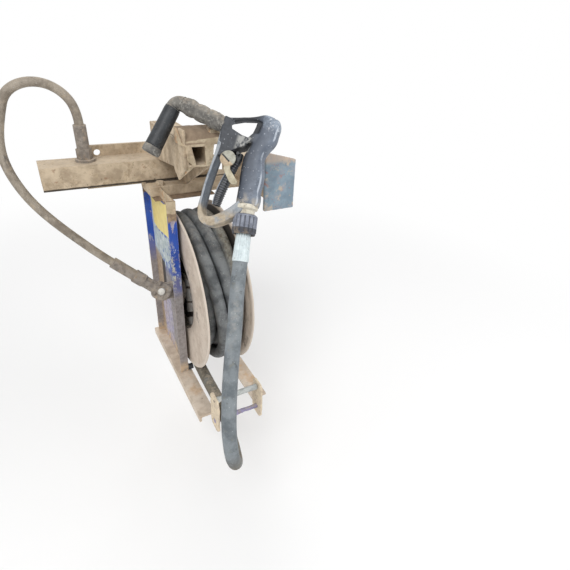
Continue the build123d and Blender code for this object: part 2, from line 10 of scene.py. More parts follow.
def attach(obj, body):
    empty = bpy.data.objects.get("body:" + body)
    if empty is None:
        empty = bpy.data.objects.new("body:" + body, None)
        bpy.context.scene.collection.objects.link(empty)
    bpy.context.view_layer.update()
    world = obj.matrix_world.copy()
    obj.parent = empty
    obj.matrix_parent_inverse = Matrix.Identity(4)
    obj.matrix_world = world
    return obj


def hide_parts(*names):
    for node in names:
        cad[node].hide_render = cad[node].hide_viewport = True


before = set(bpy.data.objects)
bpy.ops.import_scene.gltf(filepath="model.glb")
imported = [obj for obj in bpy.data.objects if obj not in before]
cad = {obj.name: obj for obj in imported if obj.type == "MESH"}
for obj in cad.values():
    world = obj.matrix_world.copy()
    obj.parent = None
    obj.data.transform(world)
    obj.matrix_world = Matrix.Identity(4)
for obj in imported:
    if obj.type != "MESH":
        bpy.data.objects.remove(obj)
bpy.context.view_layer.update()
scene = bpy.context.scene
MM = 0.001


# Colours and materials


def srgb(r, g, b):
    """A colour written as 0 to 255 in sRGB, as Blender's linear colour."""

    def linear(c):
        c /= 255
        return c / 12.92 if c <= 0.04045 else ((c + 0.055) / 1.055) ** 2.4

    return (linear(r), linear(g), linear(b), 1.0)


class Look:
    """A procedural material, made of a mottled base and layers that lie over it."""

    def __init__(self, name, base, shade, rough=0.7, metal=0.0, mottle=28, seed=0.0):
        self.material = bpy.data.materials.new(name)
        self.material.use_nodes = True
        self.tree = self.material.node_tree
        self.shader = self.tree.nodes["Principled BSDF"]
        self.seed = seed
        self.place = self.add("ShaderNodeTexCoord").outputs["Object"]
        self.shader.inputs["Metallic"].default_value = metal
        blotches = self.noise(mottle, 5, 0.62)
        self.colour = self.mix(self.span(blotches, 0.36, 0.66), srgb(*base), srgb(*shade))
        self.rough = None
        self.base_rough = rough
        self.height = None

    def add(self, kind, **values):
        node = self.tree.nodes.new(kind)
        for key, value in values.items():
            setattr(node, key, value)
        return node

    def link(self, source, socket):
        if isinstance(source, bpy.types.NodeSocket):
            self.tree.links.new(source, socket)
        else:
            socket.default_value = source

    def math(self, operation, a, b=0.0, clamp=False):
        node = self.add("ShaderNodeMath", operation=operation, use_clamp=clamp)
        self.link(a, node.inputs[0])
        self.link(b, node.inputs[1])
        return node.outputs[0]

    def mix(self, mask, a, b):
        node = self.add("ShaderNodeMix", data_type="RGBA")
        self.link(mask, node.inputs["Factor"])
        self.link(a, node.inputs[6])
        self.link(b, node.inputs[7])
        return node.outputs[2]

    def span(self, value, low, high):
        """value mapped from low..high to 0..1, smoothly."""
        node = self.add("ShaderNodeMapRange", interpolation_type="SMOOTHSTEP")
        self.link(value, node.inputs["Value"])
        node.inputs["From Min"].default_value = low
        node.inputs["From Max"].default_value = high
        return node.outputs["Result"]

    def mapped(self, stretch, shift):
        node = self.add("ShaderNodeMapping")
        self.link(self.place, node.inputs["Vector"])
        node.inputs["Scale"].default_value = stretch
        node.inputs["Location"].default_value = (shift, shift * 0.7, shift * 1.3)
        return node.outputs["Vector"]

    def noise(self, scale, detail=4, rough=0.6, stretch=(1, 1, 1), shift=0.0, twist=0.0):
        node = self.add("ShaderNodeTexNoise")
        self.link(self.mapped(stretch, shift + self.seed), node.inputs["Vector"])
        node.inputs["Scale"].default_value = scale
        node.inputs["Detail"].default_value = detail
        node.inputs["Roughness"].default_value = rough
        node.inputs["Distortion"].default_value = twist
        return node.outputs["Fac"]

    def cells(self, scale, stretch=(1, 1, 1), shift=0.0):
        node = self.add("ShaderNodeTexVoronoi")
        self.link(self.mapped(stretch, shift + self.seed), node.inputs["Vector"])
        node.inputs["Scale"].default_value = scale
        return node.outputs["Distance"]

    def along(self, direction):
        """The place along a direction, in metres."""
        node = self.add("ShaderNodeVectorMath", operation="DOT_PRODUCT")
        self.link(self.place, node.inputs[0])
        node.inputs[1].default_value = direction
        return node.outputs["Value"]

    def away_from(self, origin, direction):
        """The distance from a line, in metres."""
        offset = self.add("ShaderNodeVectorMath", operation="SUBTRACT")
        self.link(self.place, offset.inputs[0])
        offset.inputs[1].default_value = Vector(origin) * MM
        cross = self.add("ShaderNodeVectorMath", operation="CROSS_PRODUCT")
        self.link(offset.outputs["Vector"], cross.inputs[0])
        cross.inputs[1].default_value = Vector(direction).normalized()
        length = self.add("ShaderNodeVectorMath", operation="LENGTH")
        self.link(cross.outputs["Vector"], length.inputs[0])
        return length.outputs["Value"]

    def facing(self, direction):
        """1 where the surface faces a direction of the object's frame, -1 where it faces away."""
        normal = self.add("ShaderNodeTexCoord").outputs["Normal"]
        node = self.add("ShaderNodeVectorMath", operation="DOT_PRODUCT")
        self.link(normal, node.inputs[0])
        node.inputs[1].default_value = direction
        return node.outputs["Value"]

    def edges(self, radius=0.0015):
        bevel = self.add("ShaderNodeBevel", samples=6)
        bevel.inputs["Radius"].default_value = radius
        flat = self.add("ShaderNodeNewGeometry").outputs["Normal"]
        node = self.add("ShaderNodeVectorMath", operation="DOT_PRODUCT")
        self.link(bevel.outputs["Normal"], node.inputs[0])
        self.link(flat, node.inputs[1])
        return self.math("SUBTRACT", 1.0, node.outputs["Value"])

    def mask(self, *parts):
        """The product of masks, each a tuple: its kind and then its numbers."""
        product = None
        for kind, *numbers in parts:
            if kind == "patch":
                scale, low, high, *rest = numbers
                stretch = rest[0] if rest else (1, 1, 1)
                shift = rest[1] if len(rest) > 1 else 0.0
                value = self.span(self.noise(scale, 6, 0.66, stretch, shift), low, high)
            elif kind == "speck":
                scale, size, *rest = numbers
                value = self.span(self.cells(scale, shift=rest[0] if rest else 0.0), size, size * 0.45)
            elif kind == "toward":
                direction, low, high = numbers
                value = self.span(self.facing(direction), low, high)
            elif kind == "line":
                direction, low, high, wobble, scale, *rest = numbers
                place = self.along(direction)
                if wobble:
                    shift = rest[0] if rest else 3.1
                    ragged = self.math("SUBTRACT", self.noise(scale, 6, 0.62, shift=shift), 0.5)
                    place = self.math("ADD", place, self.math("MULTIPLY", ragged, wobble))
                value = self.span(place, low, high)
            elif kind == "radius":
                origin, direction, low, high = numbers
                value = self.span(self.away_from(origin, direction), low * MM, high * MM)
            elif kind == "edge":
                radius, low, high = numbers
                value = self.span(self.edges(radius), low, high)
            else:
                raise ValueError(kind)
            product = value if product is None else self.math("MULTIPLY", product, value)
        return product

    def layer(self, colour, *parts, shade=None, rough=None, raise_by=0.0, strength=1.0, grain=120):
        """Lays a colour over what is there, where the masks say."""
        mask = self.mask(*parts)
        if strength < 1.0:
            mask = self.math("MULTIPLY", mask, strength)
        top = srgb(*colour)
        if shade is not None:
            top = self.mix(self.span(self.noise(grain, 5, 0.65, shift=7.7), 0.35, 0.68), top, srgb(*shade))
        self.colour = self.mix(mask, self.colour, top)
        if rough is not None:
            before = self.base_rough if self.rough is None else self.rough
            node = self.add("ShaderNodeMix", data_type="FLOAT")
            self.link(mask, node.inputs["Factor"])
            self.link(before, node.inputs[2])
            self.link(rough, node.inputs[3])
            self.rough = node.outputs[0]
        if raise_by:
            self.raised(mask, raise_by)
        return self

    def raised(self, value, amount):
        """Adds a height, amount in millimetres where value is 1."""
        part = self.math("MULTIPLY", value, amount)
        self.height = part if self.height is None else self.math("ADD", self.height, part)
        return self

    def grain(self, scale, amount, detail=4, stretch=(1, 1, 1)):
        return self.raised(self.noise(scale, detail, 0.6, stretch, shift=11.3), amount)

    def done(self):
        self.link(self.colour, self.shader.inputs["Base Color"])
        if self.rough is None:
            drift = self.noise(60, 3, 0.6, shift=5.5)
            self.rough = self.math("ADD", self.math("MULTIPLY", drift, 0.2), self.base_rough - 0.1, True)
        self.link(self.rough, self.shader.inputs["Roughness"])
        if self.height is not None:
            bump = self.add("ShaderNodeBump")
            bump.inputs["Distance"].default_value = MM
            self.link(self.height, bump.inputs["Height"])
            self.link(bump.outputs["Normal"], self.shader.inputs["Normal"])
        return self.material


UP = (0, 0, 1)
DOWN = (0, 0, -1)
MUD = (178, 160, 140)
MUD_DARK = (128, 110, 92)
DUST = (196, 182, 164)
RUST = (140, 82, 48)


def muddy(look, amount=0.5, colour=MUD, shade=MUD_DARK, scale=45, raise_by=0.35):
    """Mud in ragged patches, with a dusting on what faces up."""
    low = 0.72 - 0.42 * amount
    look.layer(colour, ("patch", scale, low, low + 0.12), shade=shade, rough=0.95, raise_by=raise_by)
    look.layer(DUST, ("toward", UP, 0.35, 0.95), ("patch", 90, 0.3, 0.62), shade=colour, rough=0.95, strength=0.75)
    look.grain(900, 0.12, 3)
    return look


def steel_mud(name="mud_steel", base=(206, 188, 162), shade=(168, 150, 127), capped=False):
    look = Look(name, base, shade, rough=0.85, mottle=36)
    look.layer((86, 72, 60), ("patch", 150, 0.58, 0.72), rough=0.9, strength=0.7)
    look.layer(RUST, ("patch", 60, 0.6, 0.72, (1, 1, 1), 21), shade=(104, 62, 40), rough=0.9, strength=0.55)
    look.layer((205, 190, 168), ("edge", 0.002, 0.05, 0.3), ("patch", 120, 0.4, 0.6), rough=0.9, strength=0.6)
    muddy(look, 0.5, (196, 177, 150), (158, 139, 116))
    if capped:
        look.layer((142, 122, 102), ("toward", (0, -0.45, 0.9), 0.72, 0.9), shade=(122, 103, 86), rough=0.9, strength=0.85)
        # Painted light: a yellowish wash on faces that turn left, standing for their lit side.
        look.layer((190, 140, 98), ("toward", (-1, 0, 0), 0.4, 0.8), ("patch", 80, 0.5, 0.62), rough=0.9, strength=0.6)
    # Painted shadow: a dark line in the gap where the rail's bottom meets the carrier bar.
    gap_shadow = [("line", DOWN, 0.0185, 0.02, 0.003, 60), ("line", UP, -0.026, -0.0245, 0.002, 60), ("line", (0, 1, 0), -0.08, -0.074, 0.004, 60)]
    look.layer((34, 29, 26), *gap_shadow, ("line", (0, -1, 0), 0.0695, 0.07, 0, 1), rough=0.9, strength=0.9)
    return look.grain(140, 0.5, 6).done()


def arm_blue():
    look = Look("arm_blue", (42, 84, 178), (34, 70, 158), rough=0.5, mottle=40)
    look.layer((72, 104, 182), ("patch", 130, 0.52, 0.7, (1, 1, 0.3)), rough=0.6, strength=0.5)
    look.layer((176, 170, 178), ("patch", 75, 0.59, 0.63, (1, 1, 0.35), 4), shade=(150, 140, 150), rough=0.75)
    look.layer((118, 104, 132), ("patch", 210, 0.6, 0.66, (1, 1, 0.6), 9), rough=0.7, strength=0.8)
    web = ("toward", (-1, 0, 0), 0.5, 0.9)
    front = ("toward", (0, -1, 0), 0.5, 0.9)
    strip = [web, ("line", (0, 1, 0), -0.046, -0.042, 0.006, 60), ("line", DOWN, 0.06, 0.064, 0, 1), ("line", UP, -0.215, -0.2, 0, 1)]
    look.layer((204, 218, 226), *strip, rough=0.7, strength=0.85)
    worn = [web, ("line", UP, -0.235, -0.215, 0.02, 60), ("line", DOWN, 0.12, 0.13, 0, 1)]
    look.layer((196, 208, 210), *worn, ("patch", 95, 0.47, 0.53, (1, 1, 0.5), 17), shade=(166, 188, 200), rough=0.7)
    look.layer((128, 124, 150), front, ("line", DOWN, 0.17, 0.2, 0.05, 40), rough=0.8, strength=0.65)
    look.layer((158, 152, 150), ("line", DOWN, 0.205, 0.245, 0.05, 26), shade=(134, 127, 125), rough=0.95, raise_by=0.3)
    tan_strip = [web, ("line", (0, 1, 0), -0.078, -0.07, 0.01, 60), ("line", DOWN, 0.19, 0.21, 0, 1)]
    look.layer((180, 158, 132), *tan_strip, shade=(150, 128, 104), rough=0.9, strength=0.85)
    # The slot mask is painted shadow: a dark band on the web behind the front flange's free edge.
    slot = [web, ("line", (0, 1, 0), -0.094, -0.09, 0.004, 60), ("line", (0, -1, 0), 0.064, 0.068, 0.004, 60)]
    look.layer((42, 36, 32), *slot, ("line", DOWN, 0.205, 0.212, 0, 1), ("line", UP, -0.29, -0.28, 0, 1), rough=0.9, strength=0.9)
    scratched = [front, ("line", (0, -1, 0), 0.19, 0.2, 0, 1), ("line", DOWN, 0.1, 0.13, 0.02, 30), ("line", UP, -0.24, -0.2, 0.02, 40)]
    look.layer((208, 206, 190), *scratched, ("patch", 170, 0.56, 0.62, (1, 1, 0.5), 23), shade=(150, 172, 206), rough=0.75, strength=0.85)
    look.layer((206, 204, 178), *scratched, ("line", (-1, 0, 0), 0.0105, 0.0125, 0.008, 90), ("patch", 190, 0.46, 0.56, (1, 1, 0.5), 3), rough=0.75, strength=0.85)
    look.layer((186, 172, 160), ("edge", 0.002, 0.04, 0.25), ("patch", 160, 0.42, 0.55), rough=0.8)
    lilac = [web, ("line", (0, -1, 0), 0.036, 0.044, 0.012, 40), ("line", (0, 1, 0), -0.122, -0.112, 0.01, 40), ("line", DOWN, 0.29, 0.31, 0, 1)]
    look.layer((198, 190, 200), *lilac, ("patch", 60, 0.34, 0.56, (1, 1, 0.5), 31), shade=(150, 146, 176), rough=0.9, strength=0.9)
    look.layer((164, 140, 112), ("line", UP, -0.066, -0.058, 0.02, 60), front, shade=MUD_DARK, rough=0.95, raise_by=0.3)
    look.layer((150, 128, 104), ("line", UP, -0.052, -0.05, 0, 1), shade=MUD_DARK, rough=0.95, raise_by=0.3)
    look.layer((206, 182, 152), ("line", DOWN, 0.41, 0.44, 0.02, 60), ("patch", 60, 0.36, 0.6), rough=0.95)
    look.grain(900, 0.1, 3)
    return look.done()


def base_tan():
    look = Look("base_tan", (218, 204, 188), (190, 174, 156), rough=0.9, mottle=30)
    look.layer((206, 168, 122), ("patch", 22, 0.52, 0.68, (1, 1, 1), 2), shade=(182, 144, 102), rough=0.9, strength=0.55)
    look.layer((120, 98, 78), ("patch", 160, 0.6, 0.72), rough=0.9, strength=0.7, raise_by=-0.2)
    look.layer((236, 224, 208), ("edge", 0.002, 0.05, 0.3), rough=0.9, strength=0.8)
    return look.grain(200, 0.4, 6).grain(900, 0.12, 3).done()


def disc_mud_and_highlight(name="disc_mud_and_highlight", painted_shade_inside=False):
    look = Look(name, (206, 192, 177), (188, 172, 156), rough=0.88, mottle=24)
    look.layer((214, 202, 188), ("patch", 60, 0.5, 0.68), rough=0.9, strength=0.7)
    look.layer((132, 112, 96), ("patch", 170, 0.62, 0.7), rough=0.9, strength=0.8)
    look.layer((110, 96, 88), ("patch", 34, 0.62, 0.72, (1, 1, 1), 6), rough=0.85, strength=0.6)
    look.layer((222, 212, 198), ("edge", 0.002, 0.05, 0.3), rough=0.85, strength=0.7)
    # Painted highlight: a lighter band round the rim.
    look.layer((216, 204, 190), ("radius", DRUM, (1, 0, 0), 177, 181), rough=0.85, strength=0.8)
    # Painted shade on the inner face: near black above the axis, with darker patches over the whole face.
    if painted_shade_inside:
        inside = [("toward", (-1, 0, 0), 0.5, 0.8), ("radius", DRUM, (1, 0, 0), 180, 175)]
        look.layer((46, 43, 41), *inside, ("line", UP, -0.2, -0.15, 0.04, 30), rough=0.7, strength=0.92)
        look.layer((84, 78, 72), *inside, ("patch", 40, 0.5, 0.66, (1, 1, 0.5), 3), rough=0.8, strength=0.7)
    return look.grain(140, 0.35, 6).grain(900, 0.1, 3).done()


def barrel_dark():
    look = Look("barrel_dark", (78, 70, 64), (52, 48, 46), rough=0.85, mottle=30)
    return muddy(look, 0.35).done()


def fitting_mud(name="fitting_mud", base=(152, 143, 133), shade=(120, 112, 104)):
    look = Look(name, base, shade, rough=0.75, metal=0.0, mottle=70)
    look.layer((160, 152, 142), ("edge", 0.0015, 0.05, 0.3), rough=0.6, strength=0.8)
    look.layer((84, 74, 64), ("patch", 190, 0.55, 0.7), rough=0.9, strength=0.7)
    return muddy(look, 0.4, scale=90, raise_by=0.2).done()


def bright_cap():
    look = Look("bright_cap", (200, 197, 190), (168, 164, 156), rough=0.42, metal=0.35, mottle=90)
    look.layer((120, 110, 98), ("patch", 240, 0.58, 0.7), rough=0.8, strength=0.7)
    return look.grain(900, 0.08, 3).done()


def hose_look(name, base, shade, mud, pale, amount, stained=None, dusted=0.5):
    look = Look(name, base, shade, rough=0.62, mottle=34)
    look.layer(pale, ("patch", 55, 0.5, 0.72, (1, 1, 0.45), 3), rough=0.8, strength=0.6)
    look.layer((44, 48, 52), ("patch", 90, 0.58, 0.72, (1, 1, 0.5), 8), rough=0.5, strength=0.6)
    look.layer(mud, ("patch", 70, 0.66 - 0.2 * amount, 0.8 - 0.2 * amount, (1, 1, 0.7), 5), rough=0.95, strength=0.7)
    look.layer((190, 192, 190), ("speck", 150, 0.14), rough=0.8, strength=0.55)
    if stained:
        look.layer(*stained, ("patch", 60, 0.25, 0.5), shade=(96, 86, 68), rough=0.95, strength=0.75)
    look.layer(DUST, ("toward", UP, 0.5, 1.0), ("patch", 120, 0.4, 0.65), rough=0.95, strength=dusted)
    return look.grain(700, 0.14, 4).grain(160, 0.15, 3).done()


GUN_NORMAL = (0.5377, 0.6529, -0.5335)
GUN_UP = (0.462, 0.301, 0.834)


def gun_mask(along_u, along_v, low, high, wobble=0.0, scale=50):
    """A line mask in the gun's plane, in millimetres from its head."""
    direction = (BARREL * along_u + UPWARD * along_v).normalized()
    start = HEAD.dot(direction)
    return ("line", tuple(direction), (low + start) * MM, (high + start) * MM, wobble * MM, scale)


def gun_grey():
    look = Look("gun_grey", (98, 106, 119), (78, 86, 99), rough=0.5, mottle=34)
    look.layer((132, 142, 156), gun_mask(-1, 0, 62, 84, 6), ("patch", 40, 0.3, 0.7), rough=0.55, strength=0.7)
    # Painted shade: the grip grows darker towards the barrel, its shaded side.
    look.layer((62, 68, 79), gun_mask(1, 0, -66, -50, 5), rough=0.5, strength=0.7)
    look.layer((56, 60, 67), gun_mask(1, 0, -50, -43, 6), shade=(38, 42, 49), rough=0.5)
    look.layer((40, 44, 52), ("patch", 90, 0.56, 0.7, (1, 1, 1), 9), rough=0.45, strength=0.4)
    # Painted shade: faces that turn towards the barrel are darkened.
    look.layer((38, 42, 50), ("toward", tuple(BARREL), 0.3, 0.8), rough=0.5, strength=0.65)
    look.layer((210, 214, 220), ("speck", 170, 0.14), rough=0.7, strength=0.7)
    look.layer((186, 192, 200), ("speck", 70, 0.1, 4.0), rough=0.7, strength=0.6)
    # Painted highlight: a pale line along the grip's back edge.
    look.layer((190, 198, 208), ("toward", (0.118, -0.953, 0.278), 0.972, 0.992), ("patch", 60, 0.25, 0.5), rough=0.6, strength=0.8)
    under = [gun_mask(0, 1, -40, -35, 5), gun_mask(0, -1, 10, 15, 4), gun_mask(1, 0, -46, -41), gun_mask(-1, 0, 16, 24, 4)]
    look.layer((172, 172, 168), *under, ("patch", 130, 0.42, 0.56), rough=0.8, strength=0.9)
    look.layer((158, 170, 184), gun_mask(0, 1, 6, 20, 8), gun_mask(-1, 0, 50, 57), ("patch", 110, 0.3, 0.6), rough=0.8, strength=0.75)
    look.layer((220, 222, 224), gun_mask(0, 1, 0, 14, 8), gun_mask(-1, 0, 60, 66), ("patch", 260, 0.55, 0.62), rough=0.85, strength=0.8)
    look.layer((196, 198, 204), ("toward", (0.5, -0.2, 0.85), 0.72, 1.0), ("patch", 220, 0.48, 0.62), rough=0.8, strength=0.7)
    look.layer((190, 180, 164), gun_mask(0, -1, 100, 122, 10), ("patch", 90, 0.44, 0.6), rough=0.95, strength=0.75)
    # Painted shade: surfaces set back from the near face, from the head towards the barrel, are darkened.
    depth = NORMAL.dot(HEAD)
    far_inner_shade = ("line", tuple(NORMAL), (depth - 10.5) * MM, (depth - 8.5) * MM, 0, 1)
    look.layer((26, 28, 33), far_inner_shade, gun_mask(1, 0, -54, -50), rough=0.6, strength=0.85)
    return look.grain(1100, 0.1, 3).done()


def guard_look():
    look = Look("guard_look", (124, 133, 144), (88, 96, 107), rough=0.55, mottle=40)
    depth = NORMAL.dot(HEAD)
    # Painted shade: the guard darkens towards its far side.
    look.layer((40, 44, 50), ("line", tuple(NORMAL), (depth + 2) * MM, (depth + 13) * MM, 0.004, 60), rough=0.6, strength=0.85)
    look.layer((166, 170, 174), ("toward", tuple(-NORMAL), 0.5, 0.9), ("patch", 70, 0.28, 0.55, (1, 1, 0.4)), rough=0.7, strength=0.85)
    look.layer((206, 208, 210), ("speck", 150, 0.14), rough=0.8, strength=0.6)
    look.layer((190, 177, 156), gun_mask(0, -1, 136, 152, 16), ("patch", 60, 0.3, 0.5), shade=(160, 146, 126), rough=0.95, raise_by=0.4)
    return look.grain(700, 0.15, 4).done()


def black_plastic(name="black_plastic", base=(30, 33, 37), shade=(46, 50, 54)):
    look = Look(name, base, shade, rough=0.5, mottle=60)
    look.layer((112, 112, 108), ("patch", 160, 0.56, 0.74), rough=0.8, strength=0.45)
    look.layer((150, 146, 136), ("edge", 0.0015, 0.05, 0.3), ("patch", 160, 0.35, 0.6), rough=0.8, strength=0.6)
    look.layer((196, 194, 186), ("speck", 220, 0.1), rough=0.8, strength=0.5)
    return look.grain(900, 0.12, 3).done()


def lance_look():
    look = Look("lance_dust", (126, 123, 117), (94, 92, 89), rough=0.85, mottle=70)
    look.layer((160, 157, 150), ("patch", 190, 0.5, 0.66), rough=0.95, strength=0.75)
    look.layer((58, 57, 56), ("patch", 170, 0.58, 0.68, (1, 1, 1), 6), rough=0.8, strength=0.8)
    look.layer(DUST, ("toward", UP, 0.4, 1.0), ("patch", 140, 0.4, 0.62), rough=0.95, strength=0.55)
    return look.grain(260, 0.35, 5).grain(900, 0.12, 3).done()


def cream_plastic():
    look = Look("cream_plastic", (182, 181, 168), (156, 155, 142), rough=0.6, mottle=90)
    look.layer((194, 176, 150), gun_mask(0.51, -0.86, 41.5, 42.5), shade=(172, 152, 126), rough=0.7)
    look.layer((116, 104, 86), ("patch", 200, 0.58, 0.7), rough=0.9, strength=0.6)
    look.layer((216, 212, 194), ("edge", 0.0015, 0.05, 0.3), rough=0.6, strength=0.6)
    return look.grain(900, 0.1, 3).done()


def lever_cream():
    look = Look("lever_cream", (196, 188, 164), (168, 158, 134), rough=0.65, mottle=90)
    look.layer((128, 112, 90), ("patch", 200, 0.56, 0.7), rough=0.9, strength=0.7)
    return look.grain(900, 0.1, 3).done()


def dusty_edge():
    look = Look("dusty_edge", (168, 174, 182), (132, 138, 146), rough=0.7, mottle=120)
    look.layer((84, 84, 86), ("patch", 210, 0.56, 0.7), rough=0.9, strength=0.7)
    return look.grain(900, 0.1, 3).done()


def ring_cream():
    look = Look("ring_cream", (224, 218, 202), (198, 190, 172), rough=0.6, mottle=90)
    look.layer((136, 120, 98), ("patch", 180, 0.55, 0.7), rough=0.9, strength=0.6)
    return look.grain(900, 0.08, 3).done()


def nut_grey():
    look = Look("nut_grey", (142, 147, 160), (112, 117, 130), rough=0.55, mottle=80)
    look.layer((176, 178, 182), ("patch", 240, 0.52, 0.7), rough=0.7, strength=0.6)
    # Painted shade in the grooves between the ribs and on the nut's narrower ends.
    look.layer((40, 42, 48), ("radius", GRIP_END, COUPLING_AXIS, 20.1, 19.3), rough=0.7, strength=0.5)
    # Painted shadow: a dark ring at the nut's lower end.
    nut_end = COUPLING_AXIS.dot(GRIP_END) + 29.5
    look.layer((58, 60, 66), ("line", tuple(COUPLING_AXIS), nut_end * MM, (nut_end + 1) * MM, 0, 1), rough=0.7, strength=0.85)
    look.layer((150, 132, 108), gun_mask(0, -1, 158, 172, 8), ("patch", 120, 0.42, 0.6), rough=0.9, strength=0.7)
    return look.grain(900, 0.12, 3).done()


def pale_sleeve():
    look = Look("pale_sleeve", (218, 229, 231), (196, 209, 212), rough=0.45, mottle=90)
    look.layer((140, 138, 128), ("patch", 190, 0.56, 0.72, (1, 1, 0.4)), rough=0.8, strength=0.5)
    look.layer((236, 242, 244), ("patch", 300, 0.55, 0.7), rough=0.4, strength=0.5)
    return look.grain(900, 0.06, 3).done()


def plate_blue_grey():
    look = Look("plate_blue_grey", (140, 160, 174), (120, 138, 152), rough=0.7, mottle=40)
    look.layer((158, 160, 168), ("patch", 60, 0.5, 0.64), rough=0.9, strength=0.6)
    look.layer((214, 190, 158), ("patch", 60, 0.53, 0.66, (1, 1, 1), 14), rough=0.9, strength=0.7)
    look.layer((190, 132, 110), ("patch", 62, 0.56, 0.68, (1, 1, 1), 3), shade=(156, 96, 84), rough=0.9, strength=0.75)
    look.layer((196, 178, 162), ("line", UP, 0.046, 0.056, 0.012, 50), ("patch", 50, 0.25, 0.5), rough=0.95, strength=0.85)
    look.layer((58, 66, 76), ("patch", 240, 0.62, 0.7), rough=0.6, strength=0.7)
    look.layer((168, 140, 112), ("edge", 0.0025, 0.05, 0.3), ("patch", 110, 0.35, 0.55), rough=0.9, strength=0.8)
    return look.grain(240, 0.35, 5).grain(900, 0.1, 3).done()


def roller_grey():
    look = Look("roller_grey", (192, 196, 194), (160, 164, 162), rough=0.55, mottle=70)
    look.layer((120, 116, 108), ("patch", 130, 0.54, 0.7, (0.4, 1, 1)), rough=0.85, strength=0.7)
    look.layer((228, 230, 228), ("patch", 240, 0.56, 0.7), rough=0.5, strength=0.5)
    return look.grain(700, 0.12, 4).done()


def bar_lilac():
    look = Look("bar_lilac", (160, 152, 186), (128, 124, 156), rough=0.7, mottle=60)
    look.layer((168, 158, 150), ("patch", 90, 0.52, 0.64), shade=MUD_DARK, rough=0.95, raise_by=0.3)
    look.layer((200, 190, 178), ("toward", UP, 0.4, 0.95), ("patch", 120, 0.4, 0.6), rough=0.95, strength=0.7)
    return look.grain(700, 0.15, 4).done()


def clay():
    look = Look("clay", (228, 212, 186), (206, 190, 168), rough=0.95, mottle=50)
    look.layer((150, 132, 110), ("patch", 170, 0.55, 0.68), rough=0.95, strength=0.8)
    look.layer((70, 66, 64), ("patch", 80, 0.66, 0.7, (1, 1, 1), 5), rough=0.8, strength=0.9)
    return look.grain(200, 0.5, 6).grain(900, 0.15, 3).done()


def label_yellow():
    look = Look("label_yellow", (240, 220, 132), (230, 208, 118), rough=0.45, mottle=60)
    look.layer((206, 196, 160), ("patch", 150, 0.58, 0.68), rough=0.7, strength=0.7)
    look.layer((168, 158, 140), ("edge", 0.001, 0.05, 0.3), ("patch", 300, 0.4, 0.55), rough=0.8, strength=0.7)
    return look.grain(900, 0.05, 3).done()


def label_silver():
    look = Look("label_silver", (190, 200, 200), (158, 174, 178), rough=0.45, metal=0.1, mottle=60)
    look.layer((74, 106, 172), ("patch", 90, 0.55, 0.6, (1, 1, 0.5)), rough=0.6, strength=0.85)
    look.layer((226, 232, 228), ("patch", 110, 0.54, 0.62, (1, 1, 0.4), 12), rough=0.6, strength=0.8)
    look.layer((206, 200, 170), ("patch", 120, 0.58, 0.68, (1, 1, 1), 4), rough=0.7, strength=0.7)
    return look.grain(900, 0.08, 3).done()


# Mesh building, in millimetres


def finish_mesh(name, verts, faces, material, body, slot, replaces=(), smooth=True, fix=True):
    """Makes an object of vertices in millimetres and rides it on a body."""
    mesh = bpy.data.meshes.new(name)
    mesh.from_pydata([Vector(v) * MM for v in verts], [], faces)
    mesh.validate()
    if fix:
        work = bmesh.new()
        work.from_mesh(mesh)
        bmesh.ops.recalc_face_normals(work, faces=work.faces)
        work.to_mesh(mesh)
        work.free()
    return dress(bpy.data.objects.new(name, mesh), material, body, replaces, smooth)


def dress(obj, material, body, replaces=(), smooth=True):
    if obj.name not in scene.collection.objects:
        scene.collection.objects.link(obj)
    obj.data.materials.clear()
    obj.data.materials.append(material)
    if obj.type == "MESH" and smooth:
        obj.data.shade_smooth()
    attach(obj, body)
    if replaces:
        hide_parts(*replaces)
    return obj


def bevelled(obj, width, segments=2, angle=35):
    """A bevel with weighted normals, so that edges catch the light."""
    bevel = obj.modifiers.new("bevel", "BEVEL")
    bevel.width = width * MM
    bevel.segments = segments
    bevel.limit_method = "ANGLE"
    bevel.angle_limit = math.radians(angle)
    bevel.harden_normals = True
    return obj


def frame_at(direction, hint=None):
    """Two unit vectors square to a direction and to each other."""
    d = Vector(direction).normalized()
    if hint is None:
        hint = Vector((0, 0, 1)) if abs(d.z) < 0.9 else Vector((1, 0, 0))
    side = Vector(hint) - d * Vector(hint).dot(d)
    side.normalize()
    return side, d.cross(side)


def skin(rings, closed=False, caps=True):
    """Faces between rings of equal count, with end caps."""
    verts = [v for ring in rings for v in ring]
    n = len(rings[0])
    faces = []
    count = len(rings)
    for i in range(count if closed else count - 1):
        a, b = i * n, ((i + 1) % count) * n
        faces += [(a + k, a + (k + 1) % n, b + (k + 1) % n, b + k) for k in range(n)]
    if caps and not closed:
        faces.append(tuple(range(n - 1, -1, -1)))
        faces.append(tuple((count - 1) * n + k for k in range(n)))
    return verts, faces


def lathe(origin, direction, profile, segments=48, hint=None, ripple=None, closed=False):
    """A profile of (place along, radius) pairs turned about an axis. ripple(along, angle) adds to the radius."""
    origin, d = Vector(origin), Vector(direction).normalized()
    a, b = frame_at(d, hint)
    rings = []
    for along, radius in profile:
        ring = []
        for k in range(segments):
            angle = 2 * math.pi * k / segments
            r = radius + (ripple(along, angle) if ripple else 0.0)
            ring.append(origin + d * along + (a * math.cos(angle) + b * math.sin(angle)) * r)
        rings.append(ring)
    return skin(rings, closed=closed)


def carried(points, start_hint):
    """A frame carried along a path without twist: (point, tangent, side, up) at each point."""
    points = [Vector(p) for p in points]
    out = []
    side = Vector(start_hint)
    for i, p in enumerate(points):
        before = points[max(i - 1, 0)]
        after = points[min(i + 1, len(points) - 1)]
        tangent = (after - before).normalized()
        side = (side - tangent * side.dot(tangent)).normalized()
        out.append((p, tangent, side, tangent.cross(side)))
    return out


def superellipse(angle, power):
    c, s = math.cos(angle), math.sin(angle)
    return (
        math.copysign(abs(c) ** (2 / power), c),
        math.copysign(abs(s) ** (2 / power), s),
    )


